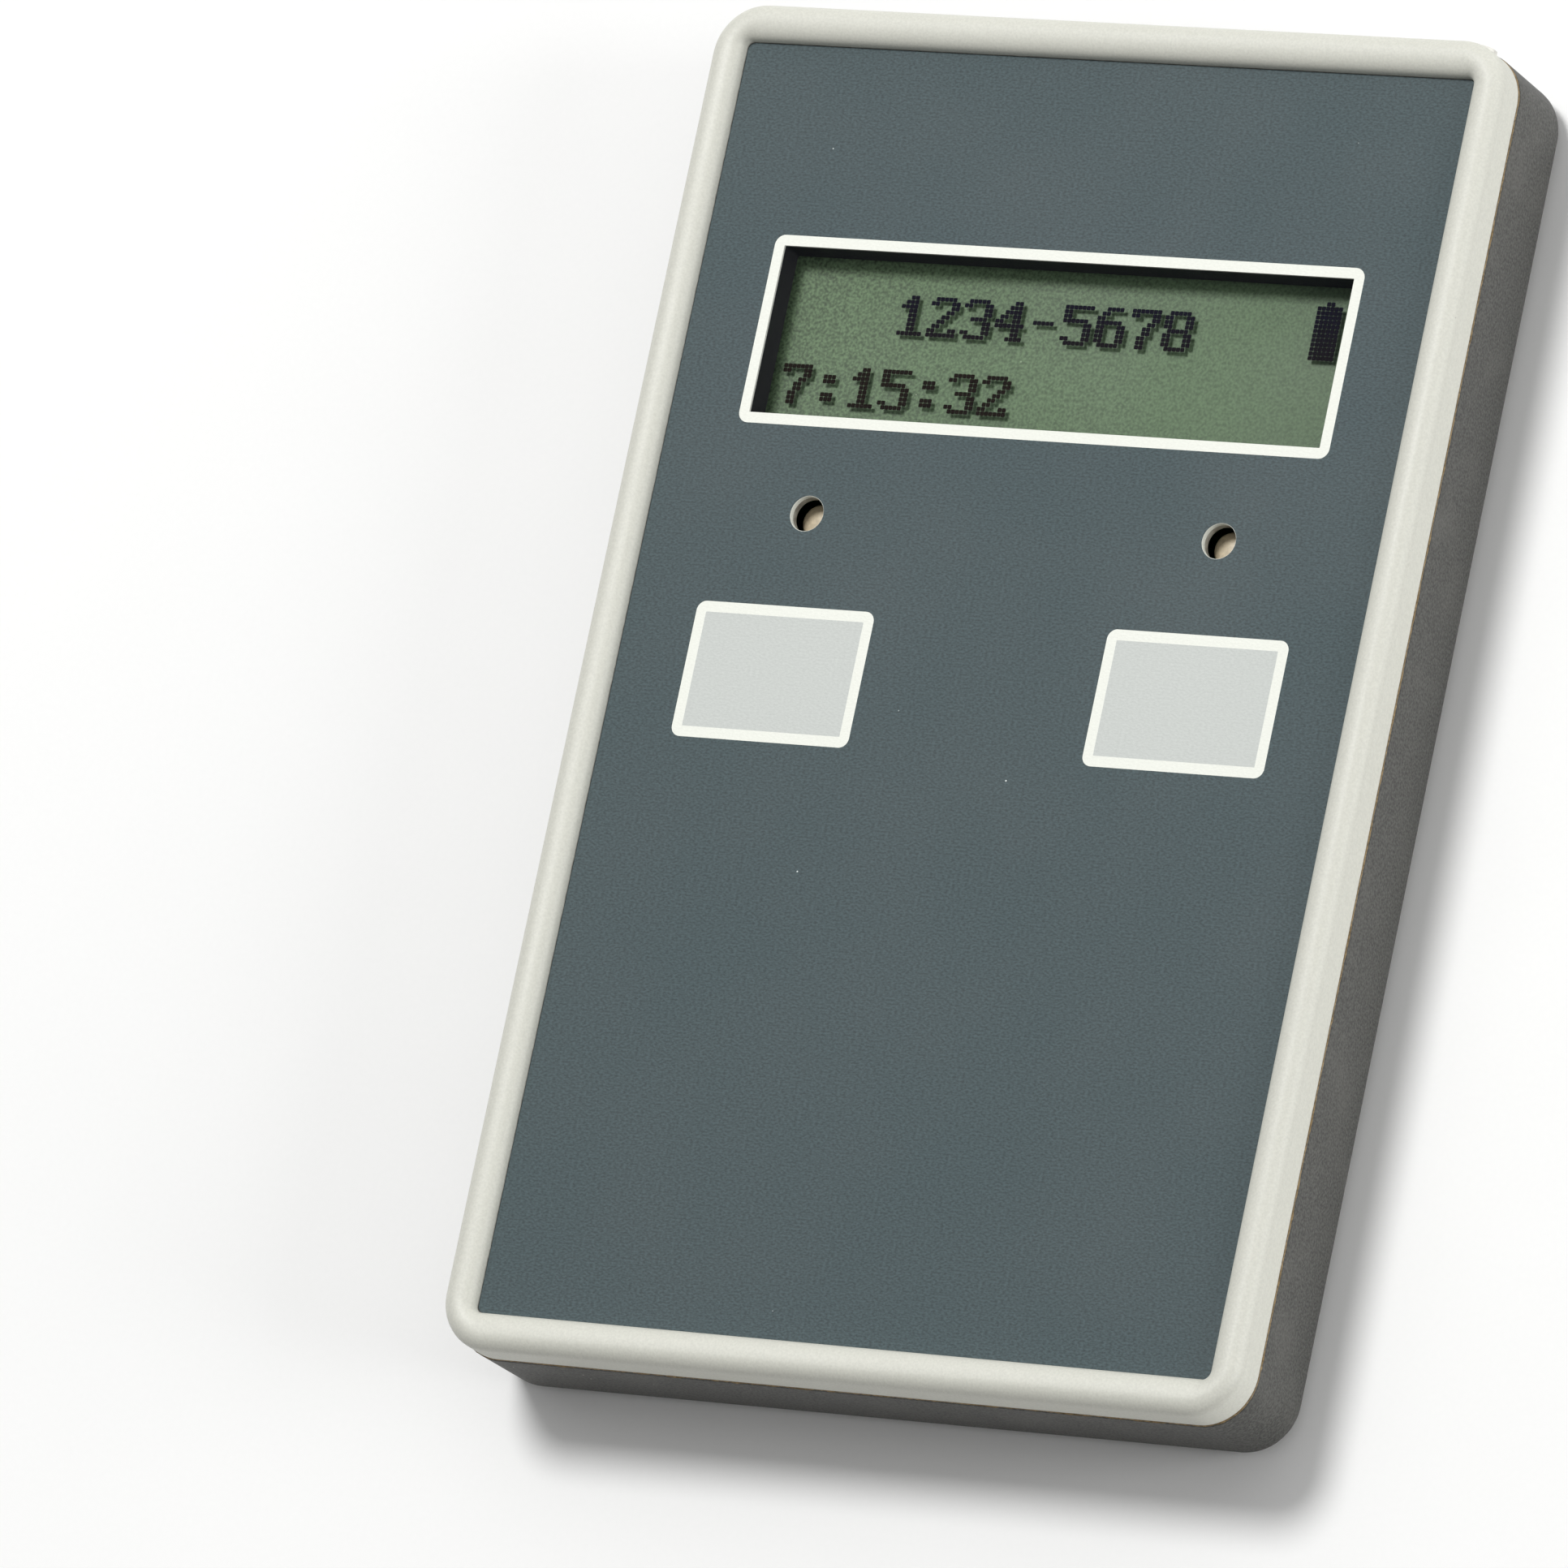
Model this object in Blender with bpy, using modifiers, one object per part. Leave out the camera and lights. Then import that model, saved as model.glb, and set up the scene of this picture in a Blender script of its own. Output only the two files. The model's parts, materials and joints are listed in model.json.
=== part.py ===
"""A pocket pager: two case shells, a printed front foil with two keys, a liquid crystal
display, and the circuit board, cell, vibration motor and fasteners that it holds.

The constants are millimetres and the scene is metres. The pager lies on its back: +X is
its right side, +Y its top end and +Z points out of the display. The origin is the centre
of the back face.
"""
import math

import bmesh
import bpy
from mathutils import Vector

MM = 0.001
GAP = 0.3  # clearance between pieces that touch on the real object

# Case outline and heights
WIDTH = 72.6
HEIGHT = 115.3
CORNER_RADIUS = 4.4
WALL = 2.0
FLOOR = 1.5
BACK_EDGE_RADIUS = 2.0
HOLLOW_EDGE_RADIUS = 1.5
FOIL_TOP = 11.8
BEAD_RISE = 1.35
BEAD_RADIUS = 1.3
BEAD_TOP = FOIL_TOP + BEAD_RISE
SEAM = 9.45
BACK_RIM = SEAM - 0.5 * GAP
FRONT_RIM = SEAM + 0.5 * GAP
LIP_DEPTH = 1.0
LIP_WALL = 1.0
POST_ROOT = 0.6  # how far the posts reach into the front shell's plate

# Printed foil and what shows through it
FOIL_WIDTH = 66.8
FOIL_HEIGHT = 108.9
FOIL_THICKNESS = 0.3
FOIL_CORNER = 0.6
PLATE_TOP = FOIL_TOP - FOIL_THICKNESS - GAP
POCKET_FLARE = ((FOIL_TOP + 0.1, 0.0), (12.7, 0.35), (BEAD_TOP + 0.2, 1.25))
WINDOW_WIDTH = 52.25
WINDOW_HEIGHT = 14.37
WINDOW_Y = 30.0
KEY_WIDTH = 16.4
KEY_HEIGHT = 11.6
KEY_X = 18.87
KEY_Y = 0.77
KEY_THICKNESS = 1.5
KEY_STEM_RADIUS = 2.5
LED_X = 18.86
LED_Y = 14.5
LED_HOLE_RADIUS = 1.6
LED_RADIUS = 1.5
LED_FLANGE_RADIUS = 1.9
LED_FLANGE = 1.0
LED_EDGE = 0.3
LED_TOP = 9.7
LED_WALL = 0.6  # plate left round the LED hole above the pocket that takes the LED

# Circuit board
BOARD_BOTTOM = 3.0
BOARD_TOP = 4.0
BOARD_HALF_WIDTH = 32.3
BOARD_LOW_Y = -10.0
BOARD_HIGH_Y = 53.5
BOARD_NOTCH = (25.3, 46.8)
BOARD_HOLE_RADIUS = 1.3
ON_BOARD = BOARD_TOP + GAP

# Display stack
GASKET_WALL = 1.0
LCD_FRONT = 9.3
LCD_GLASS = 0.8
LCD_WIDTH = 58.0
LCD_HEIGHT = 20.0
LCD_LEDGE = 4.0
BACKLIGHT_MARGIN = 1.0
LCD_REAR_TOP = LCD_FRONT - LCD_GLASS - GAP
BACKLIGHT_TOP = LCD_REAR_TOP - LCD_GLASS - GAP
FLEX_THICKNESS = 0.15
FLEX_HALF_WIDTH = 10.0
FLEX_OVERLAP = 2.5
FLEX_STEPS = 8

# Fasteners
CASE_SCREW_X = 29.5
CASE_SCREW_Y = 51.5
BOSS_RADIUS = 3.6
BOSS_TOP = 4.0
POST_RADIUS = 2.8
SHANK_RADIUS = 1.0
HEAD_RADIUS = 2.3
HEAD_ROOM = 0.5
HEAD_EDGE = 0.3
CROSS = (2.8, 0.55, 0.7)  # length, width and depth of the head's cross slot
HEAD_LOW = 0.4
HEAD_HIGH = 1.9
CASE_SCREW_TIP = 8.4
BOARD_SCREW_X = 29.3
BOARD_SCREW_Y = -7.5
BOARD_POST_RADIUS = 2.2
BOARD_SHANK_RADIUS = 0.8
BOARD_HEAD_RADIUS = 1.9
BOARD_HEAD_LOW = 2.1
BOARD_SCREW_TIP = 7.4
TIP_ROOM = 0.5
BORE_STEPS = 12

# Key switches
SWITCH_SIDE = 6.0
SWITCH_TOP = 7.8
PLUNGER_RADIUS = 1.7
PLUNGER_LOW = 6.9
PLUNGER_TOP = 8.6
PLUNGER_EDGE = 0.3

# Cell bay
CELL_HALF_WIDTH = 25.0
CELL_LOW_Y = -46.5
CELL_HIGH_Y = -15.5
CELL_BOTTOM = 2.6
CELL_TOP = 7.6
PAD_INSET = 2.0
CELL_EDGE_RADIUS = 1.6
RIB = 1.0
CELL_RIBS = ((-11.1, 18.0, 6.0), (-47.2, 20.0, 4.8))  # y, half length and top of each
PROTECTION_BOARD = ((-15.0, -15.2, 4.0), (15.0, -12.5, 5.0))
HEADER = ((20.5, -8.5, 4.3), (26.0, -4.0, 7.9))
HEADER_BORE = ((20.9, -10.0, 4.7), (25.6, -4.8, 7.5))
PLUG = ((21.2, -11.2, 5.0), (25.3, -5.1, 7.2))

# Vibration motor, its axis along X
MOTOR_Y = -51.4
MOTOR_Z = 5.6
MOTOR_RADIUS = 2.9
MOTOR_LOW_X = 2.0
MOTOR_HIGH_X = 14.0
MOTOR_SHAFT_RADIUS = 0.4
MOTOR_SHAFT_INSIDE = 2.6
MOTOR_BORE_DEPTH = 3.0
BOOT_WALL = 0.5
BOOT_INSET = 1.5
MOTOR_SHAFT_END_X = 18.6
WEIGHT_RADIUS = 2.4
WEIGHT_LOW_X = 14.7
WEIGHT_HIGH_X = 18.3
WEIGHT_FLAT = 1.2

# Strip let into the front shell along the top end, and the charging socket below it
STRIP_HALF_WIDTH = 33.8
STRIP_LOW = 9.9
STRIP_HIGH = 10.6
STRIP_BACK_Y = 56.9
STRIP_FRONT_Y = 0.5 * HEIGHT + 0.5
STRIP_EDGE = 0.15
SOCKET_WIDTH = 7.5
SOCKET_RISE = 2.6
SOCKET_BACK_Y = 51.0
SOCKET_MOUTH_Y = 57.0
SOCKET_SHEET = 0.3
SOCKET_CORNER = 0.6
SOCKET_ROOM = 0.6
TONGUE_HALF_WIDTH = 1.9
TONGUE_THICKNESS = 0.6
TONGUE_INSET = (0.7, 1.0)  # from the socket's back and from its mouth

# Radio antenna, a coil along X
ANTENNA_X = (9.0, 21.0)
ANTENNA_Y = 50.2
ANTENNA_RADIUS = 2.1
ANTENNA_WIRE = 0.3
ANTENNA_TURNS = 7
ANTENNA_STEPS = 10

# Parts on the board: centre, side and rise of the chips, then centre, size and rise
CHIPS = {
    "microcontroller": ((-11.0, -4.0), 7.0, 1.4),
    "memory_chip": ((11.0, -5.5), 4.0, 1.5),
    "charge_controller": ((11.0, 1.5), 3.0, 1.2),
}
CHIP_LEAD = 0.8
CHIP_LEAD_RISE = 0.4
CHIP_STANDOFF = 0.15
RADIO_CENTRE = (0.0, 12.0)
RADIO_BOARD = (16.0, 11.0, 0.8)
RADIO_SHIELD = (14.4, 9.4, 3.4)
CRYSTAL_CENTRE = (-27.5, 6.5)
CRYSTAL = (3.2, 8.0, 3.0)
CRYSTAL_CORNER = 1.5
CAPACITOR_CENTRE = (27.5, 6.5)
CAPACITOR = (4.3, 7.3, 2.9)
PART_EDGE = 0.4
BUZZER_CENTRE = (0.0, -3.4)
BUZZER_RADIUS = 5.2
BUZZER_TOP = 9.0
BUZZER_EDGE = 0.5
BUZZER_PORT_RADIUS = 1.0
BUZZER_PORT_LOW = 7.4

LEAD_RADIUS = 0.4
CIRCLE = 24

# Finish: colour, roughness, metallic
FINISHES = {
    "shell_light": ((0.62, 0.63, 0.60), 0.55, 0.0),
    "shell_dark": ((0.055, 0.055, 0.053), 0.62, 0.0),
    "strip_light": ((0.62, 0.63, 0.60), 0.55, 0.0),
    "foil_grey": ((0.085, 0.115, 0.125), 0.50, 0.0),
    "key_grey": ((0.60, 0.63, 0.64), 0.45, 0.0),
    "window_clear": ((0.85, 0.88, 0.88), 0.05, 0.0),
    "led_cream": ((0.75, 0.70, 0.58), 0.30, 0.0),
    "foam_black": ((0.02, 0.02, 0.02), 0.90, 0.0),
    "frame_black": ((0.015, 0.015, 0.02), 0.70, 0.0),
    "lcd_green": ((0.14, 0.23, 0.13), 0.20, 0.0),
    "backlight_white": ((0.80, 0.82, 0.78), 0.40, 0.0),
    "flex_amber": ((0.45, 0.20, 0.04), 0.35, 0.0),
    "board_green": ((0.02, 0.16, 0.06), 0.45, 0.0),
    "chip_black": ((0.025, 0.025, 0.027), 0.50, 0.0),
    "tinned_steel": ((0.62, 0.62, 0.60), 0.30, 1.0),
    "screw_steel": ((0.38, 0.38, 0.39), 0.35, 1.0),
    "gold_wire": ((0.75, 0.52, 0.22), 0.28, 1.0),
    "capacitor_ochre": ((0.62, 0.36, 0.06), 0.45, 0.0),
    "cell_silver": ((0.55, 0.56, 0.58), 0.35, 0.6),
    "lead_red": ((0.55, 0.02, 0.02), 0.40, 0.0),
    "lead_black": ((0.02, 0.02, 0.02), 0.40, 0.0),
    "plug_white": ((0.75, 0.73, 0.66), 0.45, 0.0),
    "rubber_black": ((0.03, 0.03, 0.03), 0.80, 0.0),
    "tungsten": ((0.30, 0.30, 0.31), 0.35, 1.0),
    "switch_black": ((0.03, 0.03, 0.03), 0.40, 0.0),
}


# ---------------------------------------------------------------- modelling helpers

def clear_scene():
    for obj in list(bpy.data.objects):
        bpy.data.objects.remove(obj, do_unlink=True)


def new_collection(name):
    collection = bpy.data.collections.new(name)
    bpy.context.scene.collection.children.link(collection)
    return collection


def finish(name):
    """The Principled material of a finish, made when it is first asked for."""
    material = bpy.data.materials.get(name)
    if material:
        return material
    colour, roughness, metallic = FINISHES[name]
    material = bpy.data.materials.new(name)
    material.use_nodes = True
    shader = material.node_tree.nodes["Principled BSDF"]
    shader.inputs["Base Color"].default_value = (*colour, 1.0)
    shader.inputs["Roughness"].default_value = roughness
    shader.inputs["Metallic"].default_value = metallic
    material.diffuse_color = (*colour, 1.0)
    return material


def block(low, high):
    """A closed box between two corners."""
    bm = bmesh.new()
    bmesh.ops.create_cube(bm, size=1.0)
    bmesh.ops.scale(bm, vec=(Vector(high) - Vector(low)) * MM, verts=bm.verts)
    bmesh.ops.translate(bm, vec=(Vector(high) + Vector(low)) * (0.5 * MM), verts=bm.verts)
    return bm


def plate(centre, width, height, low_z, high_z):
    """A closed box given by its centre in plan, its size in plan and its two heights."""
    x, y = centre
    low = (x - 0.5 * width, y - 0.5 * height, low_z)
    high = (x + 0.5 * width, y + 0.5 * height, high_z)
    return block(low, high)


def round_edges(bm, edges, radius, segments):
    bmesh.ops.bevel(
        bm,
        geom=edges,
        offset=radius * MM,
        segments=segments,
        profile=0.5,
        affect="EDGES",
        clamp_overlap=False,
    )
    return bm


def upright_edges(bm):
    return [e for e in bm.edges if abs(e.verts[0].co.z - e.verts[1].co.z) > 1e-6]


def edges_at_height(bm, z):
    return [e for e in bm.edges if all(abs(v.co.z - z * MM) < 1e-6 for v in e.verts)]


def rounded_plate(centre, width, height, low_z, high_z, radius, segments):
    bm = plate(centre, width, height, low_z, high_z)
    return round_edges(bm, upright_edges(bm), radius, segments)


def rod(radius, start, end, segments=CIRCLE):
    """A closed cylinder from one point to another."""
    first = Vector(start) * MM
    run = Vector(end) * MM - first
    bm = bmesh.new()
    bmesh.ops.create_cone(
        bm,
        cap_ends=True,
        segments=segments,
        radius1=radius * MM,
        radius2=radius * MM,
        depth=run.length,
    )
    turn = Vector((0, 0, 1)).rotation_difference(run).to_matrix()
    bmesh.ops.rotate(bm, cent=(0, 0, 0), matrix=turn, verts=bm.verts)
    bmesh.ops.translate(bm, vec=first + 0.5 * run, verts=bm.verts)
    return bm


def add_object(name, bm, collection, origin):
    """Turn a bmesh drawn in place into an object whose own origin is at a point."""
    place = Vector(origin) * MM
    bmesh.ops.translate(bm, vec=-place, verts=bm.verts)
    mesh = bpy.data.meshes.new(name)
    bm.to_mesh(mesh)
    bm.free()
    obj = bpy.data.objects.new(name, mesh)
    obj.location = place
    collection.objects.link(obj)
    return obj


def smooth(mesh):
    mesh.shade_smooth()
    mesh.set_sharp_from_angle(angle=math.radians(35))


def piece(name, bm, finish_name, origin=(0, 0, 0)):
    obj = add_object(name, bm, PIECES, origin)
    obj.data.materials.append(finish(finish_name))
    smooth(obj.data)
    return obj


def combine(obj, bm, operation):
    tool = add_object(f"{obj.name}_tool_{len(obj.modifiers) + 1}", bm, TOOLS, (0, 0, 0))
    tool.hide_render = True
    tool.display_type = "WIRE"
    modifier = obj.modifiers.new(operation.lower(), "BOOLEAN")
    modifier.operation = operation
    modifier.solver = "EXACT"
    modifier.object = tool
    return obj


def cut(obj, bm):
    return combine(obj, bm, "DIFFERENCE")


def join(obj, bm):
    return combine(obj, bm, "UNION")


def turned(name, profile, centre, finish_name, steps=CIRCLE):
    """A solid of revolution about +Z: (radius, height) points from the top axis point,
    down the outer side, to the bottom axis point."""
    mesh = bpy.data.meshes.new(name)
    points = [(radius * MM, 0.0, height * MM) for radius, height in profile]
    edges = [(i, i + 1) for i in range(len(points) - 1)]
    mesh.from_pydata(points, edges, [])
    obj = bpy.data.objects.new(name, mesh)
    obj.location = (centre[0] * MM, centre[1] * MM, 0.0)
    PIECES.objects.link(obj)
    obj.data.materials.append(finish(finish_name))
    screw = obj.modifiers.new("turn", "SCREW")
    screw.axis = "Z"
    screw.angle = math.tau
    screw.steps = steps
    screw.render_steps = steps
    screw.use_merge_vertices = True
    screw.merge_threshold = 1e-6
    screw.use_smooth_shade = True
    return obj


def dome(radius, base_z, rise, count):
    """Points of a dome from its top down to its rim."""
    turns = [0.5 * math.pi * i / count for i in range(count + 1)]
    return [(radius * math.sin(t), base_z + rise * math.cos(t)) for t in turns]


def smooth_route(points, steps):
    """Points along a Catmull-Rom curve through the given ones."""
    ends = [points[0], *points, points[-1]]
    knots = [Vector(p) for p in ends]
    route = []
    for a, b, c, d in zip(knots, knots[1:], knots[2:], knots[3:]):
        for step in range(steps):
            t = step / steps
            route.append(
                0.5 * ((2 * b) + (c - a) * t + (2 * a - 5 * b + 4 * c - d) * t * t
                       + (3 * b - a - 3 * c + d) * t ** 3)
            )
    route.append(knots[-1])
    return route


def wire(name, route, radius, finish_name):
    """A round wire along a list of points."""
    curve = bpy.data.curves.new(name, "CURVE")
    curve.dimensions = "3D"
    curve.bevel_depth = radius * MM
    curve.bevel_resolution = 1
    curve.use_fill_caps = True
    spline = curve.splines.new("POLY")
    spline.points.add(len(route) - 1)
    for point, place in zip(spline.points, route):
        point.co = (*(Vector(place) * MM), 1.0)
    obj = bpy.data.objects.new(name, curve)
    PIECES.objects.link(obj)
    obj.data.materials.append(finish(finish_name))
    return obj


def corners(x, y):
    return [(sx * x, sy * y) for sy in (1, -1) for sx in (-1, 1)]


def grown(size, amount=2 * GAP):
    """A (width, height) pair with clearance added all round."""
    return size[0] + amount, size[1] + amount


# ---------------------------------------------------------------- case

def back_shell():
    bm = plate((0, 0), WIDTH, HEIGHT, 0, BACK_RIM)
    round_edges(bm, upright_edges(bm), CORNER_RADIUS, 8)
    round_edges(bm, edges_at_height(bm, 0), BACK_EDGE_RADIUS, 5)
    shell = piece("back_shell", bm, "shell_dark")
    hollow = plate((0, 0), WIDTH - 2 * WALL, HEIGHT - 2 * WALL, FLOOR, BACK_RIM + 2)
    round_edges(hollow, upright_edges(hollow), CORNER_RADIUS - WALL, 4)
    round_edges(hollow, edges_at_height(hollow, FLOOR), HOLLOW_EDGE_RADIUS, 2)
    cut(shell, hollow)
    for rib_y, half_length, top in CELL_RIBS:
        join(shell, plate((0, rib_y), 2 * half_length, RIB, 0.5 * FLOOR, top))
    for x, y in corners(CASE_SCREW_X, CASE_SCREW_Y):
        join(shell, rod(BOSS_RADIUS, (x, y, 0.5 * FLOOR), (x, y, BOSS_TOP)))
        cut(shell, rod(HEAD_RADIUS + HEAD_ROOM, (x, y, -1), (x, y, HEAD_HIGH + GAP)))
        cut(shell, rod(SHANK_RADIUS + GAP, (x, y, 0), (x, y, BOSS_TOP + 1), BORE_STEPS))
    return cut(shell, socket_mouth())


def along_y(bm):
    return [e for e in bm.edges if abs(e.verts[0].co.y - e.verts[1].co.y) > 1e-6]


def strip_groove():
    x = STRIP_HALF_WIDTH + GAP
    return block((-x, STRIP_BACK_Y - GAP, FRONT_RIM - 1), (x, HEIGHT, STRIP_HIGH + GAP))


def socket_mouth():
    x = 0.5 * SOCKET_WIDTH + SOCKET_ROOM
    low = ON_BOARD - SOCKET_ROOM
    bm = block((-x, SOCKET_BACK_Y, low), (x, HEIGHT, ON_BOARD + SOCKET_RISE + SOCKET_ROOM))
    return round_edges(bm, along_y(bm), SOCKET_CORNER + SOCKET_ROOM, 2)


def end_strip():
    x = STRIP_HALF_WIDTH
    bm = block((-x, STRIP_BACK_Y, STRIP_LOW), (x, STRIP_FRONT_Y, STRIP_HIGH))
    return piece("end_strip", round_edges(bm, bm.edges[:], STRIP_EDGE, 2), "strip_light")


def foil_pocket():
    """The recess for the foil, flaring into the inner slope of the bead."""
    width, height = grown((FOIL_WIDTH, FOIL_HEIGHT))
    bm = rounded_plate((0, 0), width, height, PLATE_TOP, FOIL_TOP + 0.05, FOIL_CORNER + GAP, 3)
    top = [f for f in bm.faces if f.normal.z > 0.9]
    reach = Vector((0.5 * width * MM, 0.5 * height * MM))
    grow_before = 0.0
    for z, grow in POCKET_FLARE:
        moved = bmesh.ops.extrude_face_region(bm, geom=top)["geom"]
        bmesh.ops.delete(bm, geom=top, context="FACES_ONLY")
        verts = [v for v in moved if isinstance(v, bmesh.types.BMVert)]
        top = [f for f in moved if isinstance(f, bmesh.types.BMFace)]
        old = reach + Vector((grow_before, grow_before)) * MM
        new = reach + Vector((grow, grow)) * MM
        bmesh.ops.scale(bm, vec=(new.x / old.x, new.y / old.y, 1.0), verts=verts)
        for vert in verts:
            vert.co.z = z * MM
        grow_before = grow
    return bm


def front_shell():
    bm = plate((0, 0), WIDTH, HEIGHT, FRONT_RIM, BEAD_TOP)
    round_edges(bm, upright_edges(bm), CORNER_RADIUS, 8)
    round_edges(bm, edges_at_height(bm, BEAD_TOP), BEAD_RADIUS, 4)
    shell = piece("front_shell", bm, "shell_light")
    cut(shell, foil_pocket())
    inset = 2 * (WALL + GAP)
    corner = CORNER_RADIUS - WALL - GAP
    lip_low = FRONT_RIM - LIP_DEPTH
    join(shell, rounded_plate((0, 0), WIDTH - inset, HEIGHT - inset, lip_low, 0.5 * (FRONT_RIM
         + PLATE_TOP), corner, 4))
    inset += 2 * LIP_WALL
    cut(shell, rounded_plate((0, 0), WIDTH - inset, HEIGHT - inset, lip_low - 1, FRONT_RIM,
                             corner - LIP_WALL, 4))
    for x, y in corners(CASE_SCREW_X, CASE_SCREW_Y):
        join(shell, rod(POST_RADIUS, (x, y, BOSS_TOP + GAP), (x, y, FRONT_RIM + POST_ROOT)))
        tip = CASE_SCREW_TIP + TIP_ROOM
        cut(shell, rod(SHANK_RADIUS + GAP, (x, y, 0), (x, y, tip), BORE_STEPS))
    for x in (-BOARD_SCREW_X, BOARD_SCREW_X):
        y = BOARD_SCREW_Y
        join(shell, rod(BOARD_POST_RADIUS, (x, y, ON_BOARD), (x, y, FRONT_RIM + POST_ROOT)))
        tip = BOARD_SCREW_TIP + TIP_ROOM
        cut(shell, rod(BOARD_SHANK_RADIUS + GAP, (x, y, 0), (x, y, tip), BORE_STEPS))
    cut(shell, strip_groove())
    width, height = gasket_outside()
    cut(shell, plate((0, WINDOW_Y), width + 2 * GAP, height + 2 * GAP, FRONT_RIM - 1, FOIL_TOP))
    for side in (-1, 1):
        width, height = grown((KEY_WIDTH, KEY_HEIGHT))
        cut(shell, plate((side * KEY_X, KEY_Y), width, height, FRONT_RIM - 1, FOIL_TOP))
        x, y = side * LED_X, LED_Y
        cut(shell, rod(LED_HOLE_RADIUS, (x, y, FRONT_RIM - 1), (x, y, FOIL_TOP)))
        pocket_top = PLATE_TOP - LED_WALL
        cut(shell, rod(LED_RADIUS + GAP, (x, y, FRONT_RIM - 1), (x, y, pocket_top)))
    return shell


def front_foil():
    low = FOIL_TOP - FOIL_THICKNESS
    foil = piece("front_foil", rounded_plate((0, 0), FOIL_WIDTH, FOIL_HEIGHT, low, FOIL_TOP,
                                             FOIL_CORNER, 3), "foil_grey")
    cut(foil, plate((0, WINDOW_Y), WINDOW_WIDTH, WINDOW_HEIGHT, low - 1, FOIL_TOP + 1))
    for side in (-1, 1):
        width, height = grown((KEY_WIDTH, KEY_HEIGHT))
        cut(foil, plate((side * KEY_X, KEY_Y), width, height, low - 1, FOIL_TOP + 1))
        x, y = side * LED_X, LED_Y
        cut(foil, rod(LED_HOLE_RADIUS, (x, y, low - 1), (x, y, FOIL_TOP + 1)))
    return foil


def display_window():
    width, height = grown((WINDOW_WIDTH, WINDOW_HEIGHT), -2 * GAP)
    bm = plate((0, WINDOW_Y), width, height, FOIL_TOP - FOIL_THICKNESS, FOIL_TOP)
    return piece("display_window", bm, "window_clear")


def case_screw(number, x, y):
    bm = rod(HEAD_RADIUS, (x, y, HEAD_LOW), (x, y, HEAD_HIGH))
    round_edges(bm, edges_at_height(bm, HEAD_LOW), HEAD_EDGE, 2)
    screw = piece(f"case_screw_{number}", bm, "screw_steel", (x, y, HEAD_LOW))
    join(screw, rod(SHANK_RADIUS, (x, y, HEAD_HIGH - 0.5), (x, y, CASE_SCREW_TIP),
                    BORE_STEPS))
    length, width, depth = CROSS
    for size_x, size_y in ((length, width), (width, length)):
        cut(screw, plate((x, y), size_x, size_y, HEAD_LOW - 1, HEAD_LOW + depth))
    return screw


def board_screw(name, x, y):
    high = BOARD_BOTTOM - GAP
    screw = piece(name, rod(BOARD_HEAD_RADIUS, (x, y, BOARD_HEAD_LOW), (x, y, high)),
                  "screw_steel", (x, y, BOARD_HEAD_LOW))
    return join(screw, rod(BOARD_SHANK_RADIUS, (x, y, high - 0.2), (x, y, BOARD_SCREW_TIP),
                           BORE_STEPS))


# ---------------------------------------------------------------- keys

def key(side, name):
    x = side * KEY_X
    low = FOIL_TOP - KEY_THICKNESS
    obj = piece(name, plate((x, KEY_Y), KEY_WIDTH, KEY_HEIGHT, low, FOIL_TOP), "key_grey",
                (x, KEY_Y, FOIL_TOP))
    return join(obj, rod(KEY_STEM_RADIUS, (x, KEY_Y, PLUNGER_TOP + GAP), (x, KEY_Y, low + 0.5)))


def key_switch(side, prefix):
    x = side * KEY_X
    body = piece(f"{prefix}_switch_body", plate((x, KEY_Y), SWITCH_SIDE, SWITCH_SIDE, ON_BOARD,
                                                SWITCH_TOP), "switch_black")
    bore_low = PLUNGER_LOW - 2 * GAP
    cut(body, rod(PLUNGER_RADIUS + GAP, (x, KEY_Y, bore_low), (x, KEY_Y, SWITCH_TOP + 1)))
    bm = rod(PLUNGER_RADIUS, (x, KEY_Y, PLUNGER_LOW), (x, KEY_Y, PLUNGER_TOP))
    round_edges(bm, edges_at_height(bm, PLUNGER_TOP), PLUNGER_EDGE, 2)
    piece(f"{prefix}_switch_plunger", bm, "plug_white", (x, KEY_Y, PLUNGER_TOP))


# ---------------------------------------------------------------- display

def gasket_outside():
    return grown((WINDOW_WIDTH, WINDOW_HEIGHT), 2 * (GASKET_WALL + GAP))


def display_stack():
    width, height = gasket_outside()
    low = LCD_FRONT + GAP
    gasket = piece("display_gasket", plate((0, WINDOW_Y), width, height, low, PLATE_TOP),
                   "frame_black")
    cut(gasket, plate((0, WINDOW_Y), width - 2 * GASKET_WALL, height - 2 * GASKET_WALL, low - 1,
                      PLATE_TOP + 1))
    piece("lcd_front_glass", plate((0, WINDOW_Y), LCD_WIDTH, LCD_HEIGHT, LCD_FRONT - LCD_GLASS,
                                   LCD_FRONT), "lcd_green")
    rear_y = WINDOW_Y + 0.5 * LCD_LEDGE
    piece("lcd_rear_glass", plate((0, rear_y), LCD_WIDTH, LCD_HEIGHT + LCD_LEDGE,
                                  LCD_REAR_TOP - LCD_GLASS, LCD_REAR_TOP), "lcd_green")
    width, height = grown((LCD_WIDTH, LCD_HEIGHT + LCD_LEDGE), BACKLIGHT_MARGIN)
    bm = rounded_plate((0, rear_y), width, height, ON_BOARD, BACKLIGHT_TOP, BACKLIGHT_MARGIN, 2)
    piece("lcd_backlight", bm, "backlight_white")


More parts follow.
